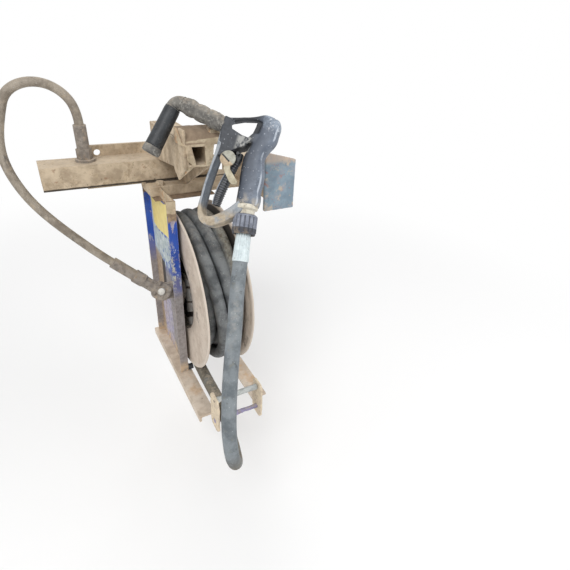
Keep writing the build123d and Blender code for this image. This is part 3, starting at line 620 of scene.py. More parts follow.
def band(stations, to_world, flat_normal, power=3.4, segments=28):
    """A bar along a path in a plane. Each station is (u, v, half width in the plane, half thickness)."""
    path = [to_world(u, v) for u, v, _, _ in stations]
    rings = []
    normal = Vector(flat_normal)
    for i, (u, v, half_wide, half_thick) in enumerate(stations):
        before, after = path[max(i - 1, 0)], path[min(i + 1, len(path) - 1)]
        tangent = (after - before).normalized()
        across = tangent.cross(normal).normalized()
        ring = []
        for k in range(segments):
            c, s = superellipse(2 * math.pi * k / segments, power)
            ring.append(path[i] + across * (c * half_wide) + normal * (s * half_thick))
        rings.append(ring)
    return skin(rings)


def spline_through(stations, steps=6):
    """More stations between the given ones, on a smooth curve through them."""
    rows = [np.array(s, float) for s in stations]
    rows = [2 * rows[0] - rows[1]] + rows + [2 * rows[-1] - rows[-2]]
    out = []
    for i in range(1, len(rows) - 2):
        p0, p1, p2, p3 = rows[i - 1 : i + 3]
        for k in range(steps):
            t = k / steps
            out.append(
                0.5
                * (
                    2 * p1
                    + (p2 - p0) * t
                    + (2 * p0 - 5 * p1 + 4 * p2 - p3) * t * t
                    + (3 * p1 - p0 - 3 * p2 + p3) * t**3
                )
            )
    out.append(rows[-2])
    return [tuple(float(x) for x in row) for row in out]


def merge(*shapes):
    verts, faces = [], []
    for v, f in shapes:
        base = len(verts)
        verts += list(v)
        faces += [tuple(base + k for k in face) for face in f]
    return verts, faces


def fused(name, shapes, voxel, smooth_steps=4, cuts=()):
    """One mesh from overlapping shapes: voxel remesh, smoothing, then cuts. Returns a mesh in metres."""
    verts, faces = merge(*shapes)
    mesh = bpy.data.meshes.new(name + "_raw")
    mesh.from_pydata([Vector(v) * MM for v in verts], [], faces)
    work = bmesh.new()
    work.from_mesh(mesh)
    bmesh.ops.recalc_face_normals(work, faces=work.faces)
    work.to_mesh(mesh)
    work.free()
    obj = bpy.data.objects.new(name + "_raw", mesh)
    scene.collection.objects.link(obj)
    remesh = obj.modifiers.new("remesh", "REMESH")
    remesh.mode = "VOXEL"
    remesh.voxel_size = voxel * MM
    relax = obj.modifiers.new("relax", "SMOOTH")
    relax.factor = 0.5
    relax.iterations = smooth_steps
    helpers = []
    for cut_verts, cut_faces in cuts:
        cutter_mesh = bpy.data.meshes.new(name + "_cut")
        cutter_mesh.from_pydata([Vector(v) * MM for v in cut_verts], [], cut_faces)
        work = bmesh.new()
        work.from_mesh(cutter_mesh)
        bmesh.ops.recalc_face_normals(work, faces=work.faces)
        work.to_mesh(cutter_mesh)
        work.free()
        cutter = bpy.data.objects.new(name + "_cut", cutter_mesh)
        scene.collection.objects.link(cutter)
        helpers.append(cutter)
        boolean = obj.modifiers.new("cut", "BOOLEAN")
        boolean.operation = "DIFFERENCE"
        boolean.solver = "EXACT"
        boolean.object = cutter
    bpy.context.view_layer.update()
    evaluated = obj.evaluated_get(bpy.context.evaluated_depsgraph_get())
    result = bpy.data.meshes.new_from_object(evaluated)
    result.name = name
    for helper in helpers + [obj]:
        bpy.data.objects.remove(helper)
    return result


def block(low, high):
    """A box as vertices and faces."""
    (x0, y0, z0), (x1, y1, z1) = low, high
    verts = [Vector((x, y, z)) for x in (x0, x1) for y in (y0, y1) for z in (z0, z1)]
    faces = [(0, 1, 3, 2), (4, 6, 7, 5), (0, 4, 5, 1), (2, 3, 7, 6), (0, 2, 6, 4), (1, 5, 7, 3)]
    return verts, faces


def prism(points, lift):
    """A flat polygon pushed along a vector."""
    lower = [Vector(p) for p in points]
    upper = [p + Vector(lift) for p in lower]
    return skin([lower, upper])


def hexagon(origin, direction, radius, length, hint=None, chamfer=1.2):
    """A hexagonal prism with chamfered ends."""
    origin, d = Vector(origin), Vector(direction).normalized()
    a, b = frame_at(d, hint)
    rings = []
    for along, r in ((0, radius - chamfer), (chamfer * 0.6, radius), (length - chamfer * 0.6, radius), (length, radius - chamfer)):
        rings.append(
            [
                origin + d * along + (a * math.cos(math.pi * k / 3) + b * math.sin(math.pi * k / 3)) * r
                for k in range(6)
            ]
        )
    return skin(rings)


def crusted(name, node, voxel, lump, scale, material, body, seed=0.0, relax=1, replaces=None):
    """A copy of a CAD piece whose surface is finely divided and lumpy with mud."""
    source = cad[node]
    obj = bpy.data.objects.new(name + "_raw", source.data.copy())
    scene.collection.objects.link(obj)
    remesh = obj.modifiers.new("remesh", "REMESH")
    remesh.mode = "VOXEL"
    remesh.voxel_size = voxel * MM
    if relax:
        soften = obj.modifiers.new("soften", "SMOOTH")
        soften.factor = 0.5
        soften.iterations = relax
    bpy.context.view_layer.update()
    evaluated = obj.evaluated_get(bpy.context.evaluated_depsgraph_get())
    mesh = bpy.data.meshes.new_from_object(evaluated)
    mesh.name = name
    bpy.data.objects.remove(obj)
    lumpy(mesh, lump, scale, seed)
    piece = bpy.data.objects.new(name, mesh)
    return dress(piece, material, body, replaces or (node,))


def lumpy(mesh, lump, scale, seed=0.0, keep=None):
    """Moves each point along its normal by noise, up to lump millimetres."""
    shift = Vector((seed, seed * 1.7, seed * 0.6))
    moves = []
    for vert in mesh.vertices:
        here = vert.co * scale + shift
        rise = noise.fractal(here, 0.6, 2.1, 4) * 0.8 + noise.noise(here * 0.35) * 0.6
        weight = 1.0 if keep is None else keep(vert.co / MM)
        moves.append(vert.normal * (rise * lump * MM * weight))
    for vert, move in zip(mesh.vertices, moves):
        vert.co += move
    mesh.update()


# Camera, light and floor

right = Vector((0.868562282, -0.492699481, 0.053355256))
down = Vector((-0.212927446, -0.468229656, -0.857568010))
ahead = Vector((0.447505826, 0.733490430, -0.511595861))
camera_place = Vector((-0.222, -0.9949, 0.276))
camera_data = bpy.data.cameras.new("camera")
camera_data.sensor_width = 36.0
camera_data.lens = 36.0 * 431.9 / 570
camera_data.clip_start = 0.01
camera = bpy.data.objects.new("camera", camera_data)
camera.matrix_world = Matrix(
    (
        (right.x, -down.x, -ahead.x, camera_place.x),
        (right.y, -down.y, -ahead.y, camera_place.y),
        (right.z, -down.z, -ahead.z, camera_place.z),
        (0, 0, 0, 1),
    )
)
scene.collection.objects.link(camera)
scene.camera = camera


def area_light(name, place, target, size, power, colour=(1, 1, 1)):
    data = bpy.data.lights.new(name, "AREA")
    data.shape = "DISK"
    data.size = size
    data.energy = power
    data.color = colour
    lamp = bpy.data.objects.new(name, data)
    lamp.location = place
    lamp.rotation_euler = (Vector(target) - Vector(place)).to_track_quat("-Z", "Y").to_euler()
    scene.collection.objects.link(lamp)


area_light("key", (-1.3, -1.9, 2.1), (0, -0.2, -0.15), 1.6, 44)
area_light("fill", (1.9, -1.5, 0.9), (0, -0.2, -0.2), 1.8, 14)
area_light("rear", (0.6, 2.0, 1.6), (0, -0.2, -0.2), 1.8, 16)

world = bpy.data.worlds.new("studio")
scene.world = world
world.use_nodes = True
background = world.node_tree.nodes["Background"]
background.inputs["Color"].default_value = (1, 1, 1, 1)
rays = world.node_tree.nodes.new("ShaderNodeLightPath")
seen = world.node_tree.nodes.new("ShaderNodeMath")
seen.operation = "MAXIMUM"
clear = world.node_tree.nodes.new("ShaderNodeMath")
clear.operation = "MAXIMUM"
strength = world.node_tree.nodes.new("ShaderNodeMapRange")
strength.inputs["To Min"].default_value = 0.62
strength.inputs["To Max"].default_value = 1.0
world.node_tree.links.new(rays.outputs["Is Camera Ray"], seen.inputs[0])
world.node_tree.links.new(rays.outputs["Is Glossy Ray"], seen.inputs[1])
world.node_tree.links.new(seen.outputs[0], clear.inputs[0])
world.node_tree.links.new(rays.outputs["Is Transmission Ray"], clear.inputs[1])
world.node_tree.links.new(clear.outputs[0], strength.inputs["Value"])
world.node_tree.links.new(strength.outputs["Result"], background.inputs["Strength"])
scene.view_settings.view_transform = "Standard"

FLOOR_Z = -0.66
floor_mesh = bpy.data.meshes.new("floor")
reach = 14.0
floor_mesh.from_pydata(
    [(-reach, -reach, FLOOR_Z), (reach, -reach, FLOOR_Z), (reach, reach, FLOOR_Z), (-reach, reach, FLOOR_Z)],
    [],
    [(0, 1, 2, 3)],
)
floor = bpy.data.objects.new("floor", floor_mesh)
scene.collection.objects.link(floor)
floor_look = bpy.data.materials.new("floor_pale")
floor_look.use_nodes = True
floor_shader = floor_look.node_tree.nodes["Principled BSDF"]
floor_shader.inputs["Base Color"].default_value = (0.93, 0.93, 0.93, 1)
floor_shader.inputs["Roughness"].default_value = 0.9
nodes, links = floor_look.node_tree.nodes, floor_look.node_tree.links
floor_place = nodes.new("ShaderNodeTexCoord")
from_middle = nodes.new("ShaderNodeVectorMath")
from_middle.operation = "LENGTH"
fade = nodes.new("ShaderNodeMapRange")
fade.interpolation_type = "SMOOTHSTEP"
fade.inputs["From Min"].default_value = 1.05
fade.inputs["From Max"].default_value = 2.0
floor_rays = nodes.new("ShaderNodeLightPath")
shown = nodes.new("ShaderNodeMath")
shown.operation = "MULTIPLY"
white = nodes.new("ShaderNodeEmission")
white.inputs["Color"].default_value = (1, 1, 1, 1)
white.inputs["Strength"].default_value = 1.0
blend = nodes.new("ShaderNodeMixShader")
links.new(floor_place.outputs["Object"], from_middle.inputs[0])
links.new(from_middle.outputs["Value"], fade.inputs["Value"])
links.new(fade.outputs["Result"], shown.inputs[0])
links.new(floor_rays.outputs["Is Camera Ray"], shown.inputs[1])
links.new(shown.outputs[0], blend.inputs[0])
links.new(floor_shader.outputs[0], blend.inputs[1])
links.new(white.outputs[0], blend.inputs[2])
links.new(blend.outputs[0], nodes["Material Output"].inputs["Surface"])
floor_mesh.materials.append(floor_look)


# Places shared with the part, in millimetres

AXIS_Y, AXIS_Z = -157.0, -246.0
DRUM = Vector((0, AXIS_Y, AXIS_Z))
HEAD = Vector((90, -276, 122.233))
UPWARD = Vector((0.462, 0.301, 0.834)).normalized()
hint = Vector((-0.705, 0.695, 0.140))
BARREL = (hint - UPWARD * hint.dot(UPWARD)).normalized()
NORMAL = BARREL.cross(UPWARD)


def gun(u, v, n=0.0):
    """A point of the gun, u towards the barrel, v up the grip and n across it."""
    return HEAD + BARREL * u + UPWARD * v + NORMAL * n


# Hoses

RISE = math.radians(11.0)
BARREL_AXIS = BARREL * math.cos(RISE) + UPWARD * math.sin(RISE)
TURN = math.radians(10.7)
COUPLING_AXIS = UPWARD * -math.cos(TURN) - BARREL * math.sin(TURN)
GRIP_END = gun(-68, -131)
SLEEVE_BOTTOM = GRIP_END + COUPLING_AXIS * 87
HOSE_R, FEED_R = 12.75, 8.5


def hose(name, points, radius, material, body, node, resolution=8):
    """A round hose on one smooth NURBS line through its route's control points."""
    curve = bpy.data.curves.new(name, "CURVE")
    curve.dimensions = "3D"
    spline = curve.splines.new("NURBS")
    spline.points.add(len(points) - 1)
    for target, point in zip(spline.points, points):
        target.co = (*(Vector(point) * MM), 1.0)
    spline.order_u = 3
    spline.use_endpoint_u = True
    spline.resolution_u = resolution
    curve.bevel_depth = radius * MM
    curve.bevel_resolution = 7
    curve.use_fill_caps = True
    return dress(bpy.data.objects.new(name, curve), material, body, (node,))


WORKING_ROUTE = [
    (26, -157, -431.3),
    (25, -212, -432.5),
    (23, -270, -434),
    (22, -328, -433),
    (20, -384, -432.5),
    (13, -433, -454),
    (2, -483, -451),
    (-15, -523, -418),
    (-31, -542, -366),
    (-34, -537, -308),
    (-26, -521, -252),
    (-12, -498, -202),
    (10, -464, -155),
    SLEEVE_BOTTOM + COUPLING_AXIS * 52,
    SLEEVE_BOTTOM,
]
hose_rubber = hose_look(
    "hose_rubber",
    (130, 137, 141),
    (95, 102, 107),
    (128, 126, 114),
    (148, 154, 158),
    0.35,
    ((122, 110, 88), ("line", DOWN, 0.34, 0.43, 0.05, 30)),
)
working = hose("working_hose_line", WORKING_ROUTE, HOSE_R, hose_rubber, "station", "working_hose")

FEED_AXIS = Vector((-0.723, 0.266, 0.637)).normalized()
COVER_AXIS = Vector((-0.2, -0.83, 0.52)).normalized()
SWIVEL = Vector((-32, AXIS_Y, AXIS_Z))
FEED_START = SWIVEL + FEED_AXIS * 121.5
FEED_ROUTE = [
    FEED_START,
    FEED_START + FEED_AXIS * 32,
    (-177, -102, -113),
    (-196.5, -92, -93),
    (-214.5, -82, -73),
    (-230, -72, -54),
    (-244.5, -62, -32),
    (-256, -53, -8),
    (-265, -45, 19),
    (-269, -39, 50),
    (-264.5, -36, 84),
    (-254, -36, 118),
    (-240.6, -36, 151.6),
    (-210.4, -37, 169),
    (-175.6, -38, 169),
    (-145.4, -39, 151.6),
    (-128, -39, 121),
    (-128, -39, 93),
]
feed_rubber = hose_look("feed_rubber", (156, 146, 132), (120, 110, 98), (172, 158, 138), (178, 168, 154), 0.6)
feed = hose("feed_hose_line", FEED_ROUTE, FEED_R, feed_rubber, "station", "feed_hose")

# The wound hose: turns since the free hose, place across the drum, radius of the layer
WOUND_STOPS = [
    (0.0, 26.0, 185.3),
    (0.22, 25.0, 160.0),
    (0.55, 30.0, 159.25),
    (0.93, 61.0, 159.25),
    (1.5, 57.0, 159.25),
    (1.93, 88.0, 159.25),
    (2.5, 84.0, 159.25),
    (2.88, 90.0, 141.0),
    (3.1, 90.0, 133.65),
    (3.5, 54.0, 133.65),
    (4.0, 63.5, 133.65),
    (4.5, 26.5, 133.65),
    (5.0, 36.0, 133.65),
    (5.35, 26.0, 112.0),
    (5.55, 24.5, 108.0),
    (6.0, 38.0, 108.0),
    (6.5, 51.0, 108.0),
    (7.0, 65.0, 108.0),
    (7.5, 78.0, 108.0),
    (8.0, 89.5, 108.0),
]


def wound_place(turn):
    """The place across the drum and the radius at a number of turns."""
    for (t0, x0, r0), (t1, x1, r1) in zip(WOUND_STOPS, WOUND_STOPS[1:]):
        if turn <= t1:
            share = (turn - t0) / (t1 - t0)
            share = share * share * (3 - 2 * share)
            return x0 + (x1 - x0) * share, r0 + (r1 - r0) * share
    return WOUND_STOPS[-1][1:]


def wound_route():
    """The control points of the wound turns, from the free hose inwards: three layers, laid loosely."""
    points = []
    per_turn = 16
    inside = 1 - 0.25 * (1 - math.cos(2 * math.pi / per_turn))
    for i in range(8 * per_turn + 1):
        turn = i / per_turn
        angle = -math.pi / 2 + 2 * math.pi * turn
        x, radius = wound_place(turn)
        slack = min(turn, 1.0)
        x = min(max(x + 1.4 * math.sin(2.3 * turn) * slack, 23.6), 90.3)
        radius += 1.6 * math.sin(5.1 * turn + 0.8) * slack
        if 0.5 < turn < 2.6:
            radius += 13.0 * max(0.0, -math.sin(angle)) ** 2
        points.append(Vector((x, AXIS_Y + math.cos(angle) * radius / inside, AXIS_Z + math.sin(angle) * radius / inside)))
    points[0] = Vector(WORKING_ROUTE[0])
    return points


WOUND = wound_route()
wound_rubber = hose_look(
    "wound_rubber",
    (112, 115, 116),
    (72, 75, 77),
    (122, 121, 117),
    (138, 141, 142),
    0.4,
    ((150, 147, 136), ("line", (1, 0, 0), 0.07, 0.082, 0.01, 20)),
    0.15,
)
wound = hose("wound_turns", WOUND, HOSE_R, wound_rubber, "drum", "wound_hose", 4)


def line_length(obj):
    """The length of a curve's own line, in metres."""
    curve = obj.data
    bare = curve.copy()
    bare.bevel_depth = 0.0
    probe = bpy.data.objects.new("probe", bare)
    mesh = bpy.data.meshes.new_from_object(probe)
    places = [v.co for v in mesh.vertices]
    length = sum((b - a).length for a, b in zip(places, places[1:]))
    bpy.data.objects.remove(probe)
    bpy.data.meshes.remove(mesh)
    bpy.data.curves.remove(bare)
    return length


round(line_length(wound), 3)


# Spray gun

GUN_GREY = gun_grey()
BLACK = black_plastic()


def plane_band(stations, steps=5, power=3.4, segments=28, offset=0.0):
    """A bar of the gun along (u, v) stations with half width and half thickness."""
    return band(spline_through(stations, steps), lambda u, v: gun(u, v, offset), NORMAL, power, segments)


def gun_prism(outline, low, high):
    """A plate of the gun between two distances across its plane."""
    return prism([gun(u, v, low) for u, v in outline], NORMAL * (high - low))


grip = plane_band(
    [
        (-68, 30, 10, 10.5),
        (-68.5, 20, 15, 14),
        (-66.5, 6, 17, 15),
        (-66, -4, 17.5, 15.2),
        (-61, -15, 17, 15.4),
        (-57, -30, 15.7, 15.4),
        (-55, -43, 17.8, 15.3),
        (-57.3, -58, 19.6, 15.4),
        (-60.4, -72, 20.6, 15.4),
        (-62.5, -85, 20.2, 15.5),
        (-63.7, -98, 19.6, 15.8),
        (-66.3, -112, 20.4, 15.8),
        (-66.8, -121.5, 19.6, 15),
    ],
    power=3.0,
)
top_bar = plane_band(
    [
        (-66, 22, 12, 13.5),
        (-54, 26, 8.5, 12.5),
        (-42, 24.2, 5, 10.5),
        (-30, 21.2, 3.6, 8.8),
        (-18, 18.2, 3.4, 8.4),
        (-6, 13.8, 4.2, 9.2),
        (6, 8.5, 6.7, 11),
        (12, 5.4, 9.5, 12.5),
    ],
    power=2.8,
)
valve = gun_prism(
    [
        (13, 13.5),
        (2, 12),
        (-9, 4),
        (-14, -5),
        (-29, -10),
        (-37, -10),
        (-42, -4),
        (-52, -2),
        (-52, -17),
        (-39.1, -19.9),
        (-34.3, -28.5),
        (-24.2, -34.1),
        (-17.4, -41.1),
        (-4.6, -52.6),
        (10.2, -56.7),
        (11, -30),
        (13.5, -9),
    ],
    -14.6,
    14.6,
)
window_web = gun_prism(
    [(-2, 9), (-14, 14), (-30, 19), (-50, 22), (-56, 8), (-54, -12), (-36, -18), (-14, -14), (0, -6)], -6.5, 6.5
)
window_near = [(-4.2, -1.3), (-7.2, 1.3), (-24.3, 8.7), (-45.3, 13.4), (-45.1, 6.1), (-43.3, -4.6), (-37.3, -13.7), (-24.9, -12.1), (-6.6, -6.2)]
window_far = [(7.3, 9.3), (4.2, 11.9), (-13.6, 19.6), (-35.6, 24.6), (-35.4, 16.9), (-33.5, 5.8), (-27.3, -3.8), (-14.3, -2.1), (4.9, 4.1)]
window = skin([[gun(u, v, -16) for u, v in window_near], [gun(u, v, 16) for u, v in window_far]])
root_point = gun(19, 2.4)
collar = lathe(
    root_point - BARREL_AXIS * 24,
    BARREL_AXIS,
    [(0, 9), (6, 12), (14, 13.2), (17, 13.0)],
    40,
    NORMAL,
)
slot_half = 8.2
trigger_slot = gun_prism([(-9, -36), (-37, -35.5), (-37, -60), (-9, -60)], -slot_half, slot_half)
gun_mesh = fused("gun_body_shell", [grip, top_bar, valve, window_web, collar], 1.3, 5, [trigger_slot, window])
gun_shell = dress(bpy.data.objects.new("gun_body_shell", gun_mesh), GUN_GREY, "station", ("gun_body",))

# Guard, a thin strap on edge
verts, faces = plane_band(
    [
        (8, -12, 6, 13.6),
        (8.3, -30, 4.6, 14.5),
        (8, -52, 3.2, 15.6),
        (9, -76, 2.4, 16.6),
        (10, -105, 2.4, 17),
        (9.2, -130, 2.4, 17),
        (8.4, -146, 3.2, 16.6),
        (2.5, -161, 5.4, 15),
        (-7, -166.5, 7.6, 15),
        (-19, -164.5, 8.6, 15),
        (-31, -156.5, 9, 15),
        (-42, -147, 9, 15),
        (-52, -136, 9.5, 15),
        (-60, -124, 9.5, 14.6),
    ],
    6,
    7.0,
    40,
)
finish_mesh("gun_guard_strap", verts, faces, guard_look(), "station", "gun_plastic")

trigger_path = spline_through(
    [
        (-28, -40, 5.6, 6.9),
        (-27.4, -52, 6.0, 6.9),
        (-22.5, -74, 6.4, 8.8),
        (-17.6, -98, 6.7, 9.8),
        (-15.2, -120, 6.5, 9.8),
        (-14.6, -136.5, 5.7, 9.2),
    ],
    16,
)
core, ribs = [], []
for i, (u, v, wide, thick) in enumerate(trigger_path):
    depth = 0.0 if v > -58 else 1.1
    core.append((u, v, wide - depth, thick - depth * 0.6))
    if v < -58 and i % 3 == 0 and i + 1 < len(trigger_path):
        ribs.append(band([trigger_path[i], trigger_path[i + 1]], gun, NORMAL, 4.0, 20))
verts, faces = band(core, gun, NORMAL, 4.0, 24)
finish_mesh("trigger_core", verts, faces, BLACK, "trigger_lever", "black_plastic", ("trigger",), smooth=False)
verts, faces = merge(*ribs)
RIB_GREY = black_plastic("rib_grey", (84, 88, 100), (58, 62, 72))
finish_mesh("trigger_ribs", verts, faces, RIB_GREY, "trigger_lever", "black_plastic", smooth=False)
verts, faces = band([(u + wide - 0.5, v, 0.9, thick + 0.15) for u, v, wide, thick in trigger_path[8:]], gun, NORMAL, 4.0, 16)
finish_mesh("trigger_edge", verts, faces, dusty_edge(), "trigger_lever", "black_plastic")

# Catch: a split disc and its thumb lever on the near side
CREAM = cream_plastic()
near = -15.0
verts, faces = lathe(gun(-15, -57, near), -NORMAL, [(0, 0.01), (0, 12.6), (0.8, 13.5), (3.2, 13.5), (4.4, 12.2), (4.6, 0.01)], 48)
finish_mesh("catch_disc", verts, faces, CREAM, "station", "cream_plastic", ("catch",))
lever = gun_prism(
    [(-9, -60), (-21, -62), (-24.4, -73.5), (-42.6, -90.2), (-43.6, -93.6), (-40, -96.6), (-34.5, -97), (-28.6, -94), (-13.6, -77)],
    near - 3.6,
    near - 0.1,
)
bevelled(finish_mesh("catch_lever", *lever, lever_cream(), "station", "cream_plastic", smooth=False), 1.0, 3)
slit = gun_prism([(-4.6, -51.3), (-3.2, -53.4), (-19.0, -62.9), (-20.4, -60.8)], near - 4.95, near - 4.5)
finish_mesh("catch_slit", *slit, BLACK, "station", "black_plastic")

# Lance sleeve with wrinkled swellings, elbow and nozzle
LANCE = lance_look()
SLEEVE_LENGTH, ELBOW_REACH = 78.0, 16.0
SWELLS = ((1.0, 28.5), (28.5, 52.5), (52.5, 77.0))


def wrinkles(along, angle):
    place = Vector((math.cos(angle) * 1.6, math.sin(angle) * 1.6, along * 0.1))
    return 0.9 * noise.noise(place) + 0.5 * noise.noise(place * 3.1) + 0.18 * math.sin(along * 2.1 + 2 * math.cos(angle))


def swelling(along):
    for low, high in SWELLS:
        if low < along < high:
            return math.sin(math.pi * (along - low) / (high - low)) ** 0.6
    return 0.0


swell = [(-10, 9), (-10, 13.4), (-8, 14.4), (-4, 14.6), (-1, 13.4)]
swell += [(step * 1.5, 12.4 + 2.6 * swelling(step * 1.5)) for step in range(0, 53)]
verts, faces = lathe(root_point, BARREL_AXIS, swell, 56, NORMAL, wrinkles)
finish_mesh("lance_sleeve_skin", verts, faces, LANCE, "station", "black_plastic", ("lance_sleeve",))

NOZZLE_TURN = math.radians(-80)
NOZZLE_AXIS = BARREL * math.cos(NOZZLE_TURN) + UPWARD * math.sin(NOZZLE_TURN)
elbow_start = root_point + BARREL_AXIS * SLEEVE_LENGTH
elbow_centre = elbow_start + BARREL_AXIS * ELBOW_REACH
elbow_path = []
for k in range(0, 15):
    s = k / 14
    a = elbow_start.lerp(elbow_centre, min(1.0, s * 1.1))
    b = elbow_centre.lerp(elbow_centre + NOZZLE_AXIS * ELBOW_REACH, s)
    elbow_path.append(a.lerp(b, s * s * (3 - 2 * s)))
elbow_rings = []
for i, (p, tangent, side, up) in enumerate(carried(elbow_path, NORMAL)):
    s = i / 14
    r = 12.4 + 1.0 * math.exp(-((s - 0.06) ** 2) / 0.002) + 1.3 * math.exp(-((s - 0.95) ** 2) / 0.004)
    elbow_rings.append(
        [
            p + (side * math.cos(2 * math.pi * k / 44) + up * math.sin(2 * math.pi * k / 44)) * r
            for k in range(44)
        ]
    )
verts, faces = skin(elbow_rings)
finish_mesh("elbow_bend", verts, faces, LANCE, "station", "black_plastic", ("elbow",))
nozzle_start = elbow_centre + NOZZLE_AXIS * ELBOW_REACH
verts, faces = lathe(
    nozzle_start,
    NOZZLE_AXIS,
    [
        (-3, 8),
        (-3, 12.6),
        (0, 13.5),
        (3, 13.9),
        (24, 14.0),
        (48, 14.5),
        (70, 15.0),
        (76, 15.2),
        (76, 11.6),
        (70, 10.6),
        (70, 0.01),
    ],
    64,
    NORMAL,
    lambda along, angle: 0.12 * math.cos(angle * 32) if 4 < along < 72 else 0.0,
)
finish_mesh("nozzle_boot", verts, faces, BLACK, "station", "black_plastic", ("nozzle",))
verts, faces = lathe(
    nozzle_start + NOZZLE_AXIS * 73,
    NOZZLE_AXIS,
    [(0, 12), (0, 14.8), (2, 15.8), (8, 16.2), (12.2, 15.8), (13.2, 14.8), (13.2, 12.6), (11.5, 10.6), (3, 8.4), (3, 0.01)],
    64,
    NORMAL,
    lambda along, angle: 0.35 * noise.noise(Vector((math.cos(angle) * 3, math.sin(angle) * 3, along))),
)
finish_mesh("nozzle_rim", verts, faces, LANCE, "station", "black_plastic")

# Hose end under the grip: ring, ribbed nut and pale sleeve
verts, faces = lathe(
    GRIP_END,
    COUPLING_AXIS,
    [(-10, 10), (-10, 17.6), (-8.4, 19.2), (-3.8, 19.5), (-2.2, 18.2), (-1.8, 14.9), (0.6, 14.5), (5.5, 14.5), (7.4, 13.4), (7.4, 9)],
    56,
    NORMAL,
)
finish_mesh("gun_ring_cream", verts, faces, ring_cream(), "station", "cream_plastic", ("gun_ring",))


def nut_ribs(along, angle):
    if along < 3.5 or along > 29.5:
        return 0.0
    return 0.7 if math.cos(angle * 16) > -0.35 else -1.3


NUT_START = GRIP_END + COUPLING_AXIS * 7
verts, faces = lathe(
    NUT_START,
    COUPLING_AXIS,
    [(0, 14), (0, 18.6), (1.8, 20.4), (3.4, 20.6), (3.6, 20.2), (15, 20.3), (29.4, 20.2), (29.6, 20.0), (33, 19.8), (34, 19), (33.4, 17.4), (26, 15.6), (26, 11)],
    176,
    NORMAL,
    nut_ribs,
)
finish_mesh("coupling_nut_ribbed", verts, faces, nut_grey(), "station", "black_plastic", ("coupling_nut",))


def sleeve_ribs(along, angle):
    return 0.45 * math.cos(angle * 18) if 2 < along < 43 else 0.0


SLEEVE_START = NUT_START + COUPLING_AXIS * 34
verts, faces = lathe(
    SLEEVE_START,
    COUPLING_AXIS,
    [(-9, 10), (-9, 12.2), (1.9, 12.4), (2.1, 12.5), (22, 13.0), (42.9, 13.9), (43.1, 14.2), (45, 14.2), (46, 13.6), (46, 12.2)],
    144,
    NORMAL,
    sleeve_ribs,
)
finish_mesh("hose_sleeve_ribbed", verts, faces, pale_sleeve(), "station", "pale_sleeve", ("hose_sleeve",))


# Drum

def disc_shell(name, face_x, outward, node, seed, look):
    """A pressed disc with a rolled rim, slightly bent out of true."""
    t = 2.0 * outward
    profile = [
        (face_x, 95.0),
        (face_x, 120.0),
        (face_x, 150.0),
        (face_x, 172.0),
        (face_x, 181.0),
        (face_x - 0.6 * outward, 184.0),
        (face_x - 0.2 * outward, 186.6),
        (face_x + 1.2 * outward, 187.5),
        (face_x + 3.0 * outward, 186.8),
        (face_x + 4.0 * outward, 184.6),
        (face_x + 3.4 * outward, 182.4),
        (face_x + t, 181.2),
        (face_x + t, 172.0),
        (face_x + t, 150.0),
        (face_x + t, 120.0),
        (face_x + t, 95.0),
    ]
    segments = 180
    rings = []
    for k in range(segments):
        angle = 2 * math.pi * k / segments
        ring = []
        for x, r in profile:
            bend = noise.noise(Vector((math.cos(angle) * 1.1, math.sin(angle) * 1.1, seed)))
            dent = noise.noise(Vector((math.cos(angle) * 5, math.sin(angle) * 5, seed + 4)))
            share = max(0.0, (r - 150) / 37.5)
            dx = (bend * 1.3 + dent * 0.5) * share
            dr = -abs(dent) * 0.8 * share
            ring.append(
                Vector((x + dx, AXIS_Y + math.cos(angle) * (r + dr), AXIS_Z + math.sin(angle) * (r + dr)))
            )
        rings.append(ring)
    verts, faces = skin(rings, closed=True, caps=False)
    return finish_mesh(name, verts, faces, look, "drum", "disc_steel", (node,))


disc_shell("left_disc_pressed", 10.0, -1, "left_disc", 1.3, disc_mud_and_highlight())
disc_shell("right_disc_pressed", 104.0, 1, "right_disc", 6.1, disc_mud_and_highlight("disc_mud_painted_shade", True))

BARREL_DARK = barrel_dark()
FITTING = fitting_mud()
STEEL_MUD = steel_mud()
ARM_BLUE = arm_blue()
BASE_TAN = base_tan()


def keep_cad(node, material, bevel=0.0, segments=2, smooth=True):
    """Gives a CAD piece its finish, and softened edges where a width is given."""
    obj = cad[node]
    obj.data.materials.clear()
    obj.data.materials.append(material)
    if bevel:
        bevelled(obj, bevel, segments)
    return obj


keep_cad("drum_barrel", BARREL_DARK)
keep_cad("hub_plate_left", BARREL_DARK, 0.5)
keep_cad("hub_plate_right", BARREL_DARK, 0.5)
keep_cad("drum_shaft", FITTING)
keep_cad("hub_bolts", FITTING, 0.7)
keep_cad("bearing_housing", FITTING, 0.8)

# Blocks on the hub plate, seen past the arm's front edge, and the same again opposite
HUB_BLOCKS = (
    ((-180, -213), (-219, -193), (-216, -212), (-183, -230)),
    ((-184, -235), (-232, -208), (-228, -243), (-182, -270)),
    ((-183, -273), (-229, -246), (-227, -270), (-181, -300)),
    ((-183, -313), (-232, -281), (-222, -308), (-190, -332)),
)
blocks = []
for corners in HUB_BLOCKS:
    for turned in (1, -1):
        face = [Vector((24.4, AXIS_Y + turned * (y - AXIS_Y), AXIS_Z + turned * (z - AXIS_Z))) for y, z in corners]
        blocks.append(prism(face, (-10.0, 0, 0)))
verts, faces = merge(*blocks)
HUB_GREY = fitting_mud("hub_grey", (134, 131, 126), (104, 101, 97))
bevelled(finish_mesh("hub_blocks", verts, faces, HUB_GREY, "drum", "mud_steel", smooth=False), 1.6, 3)

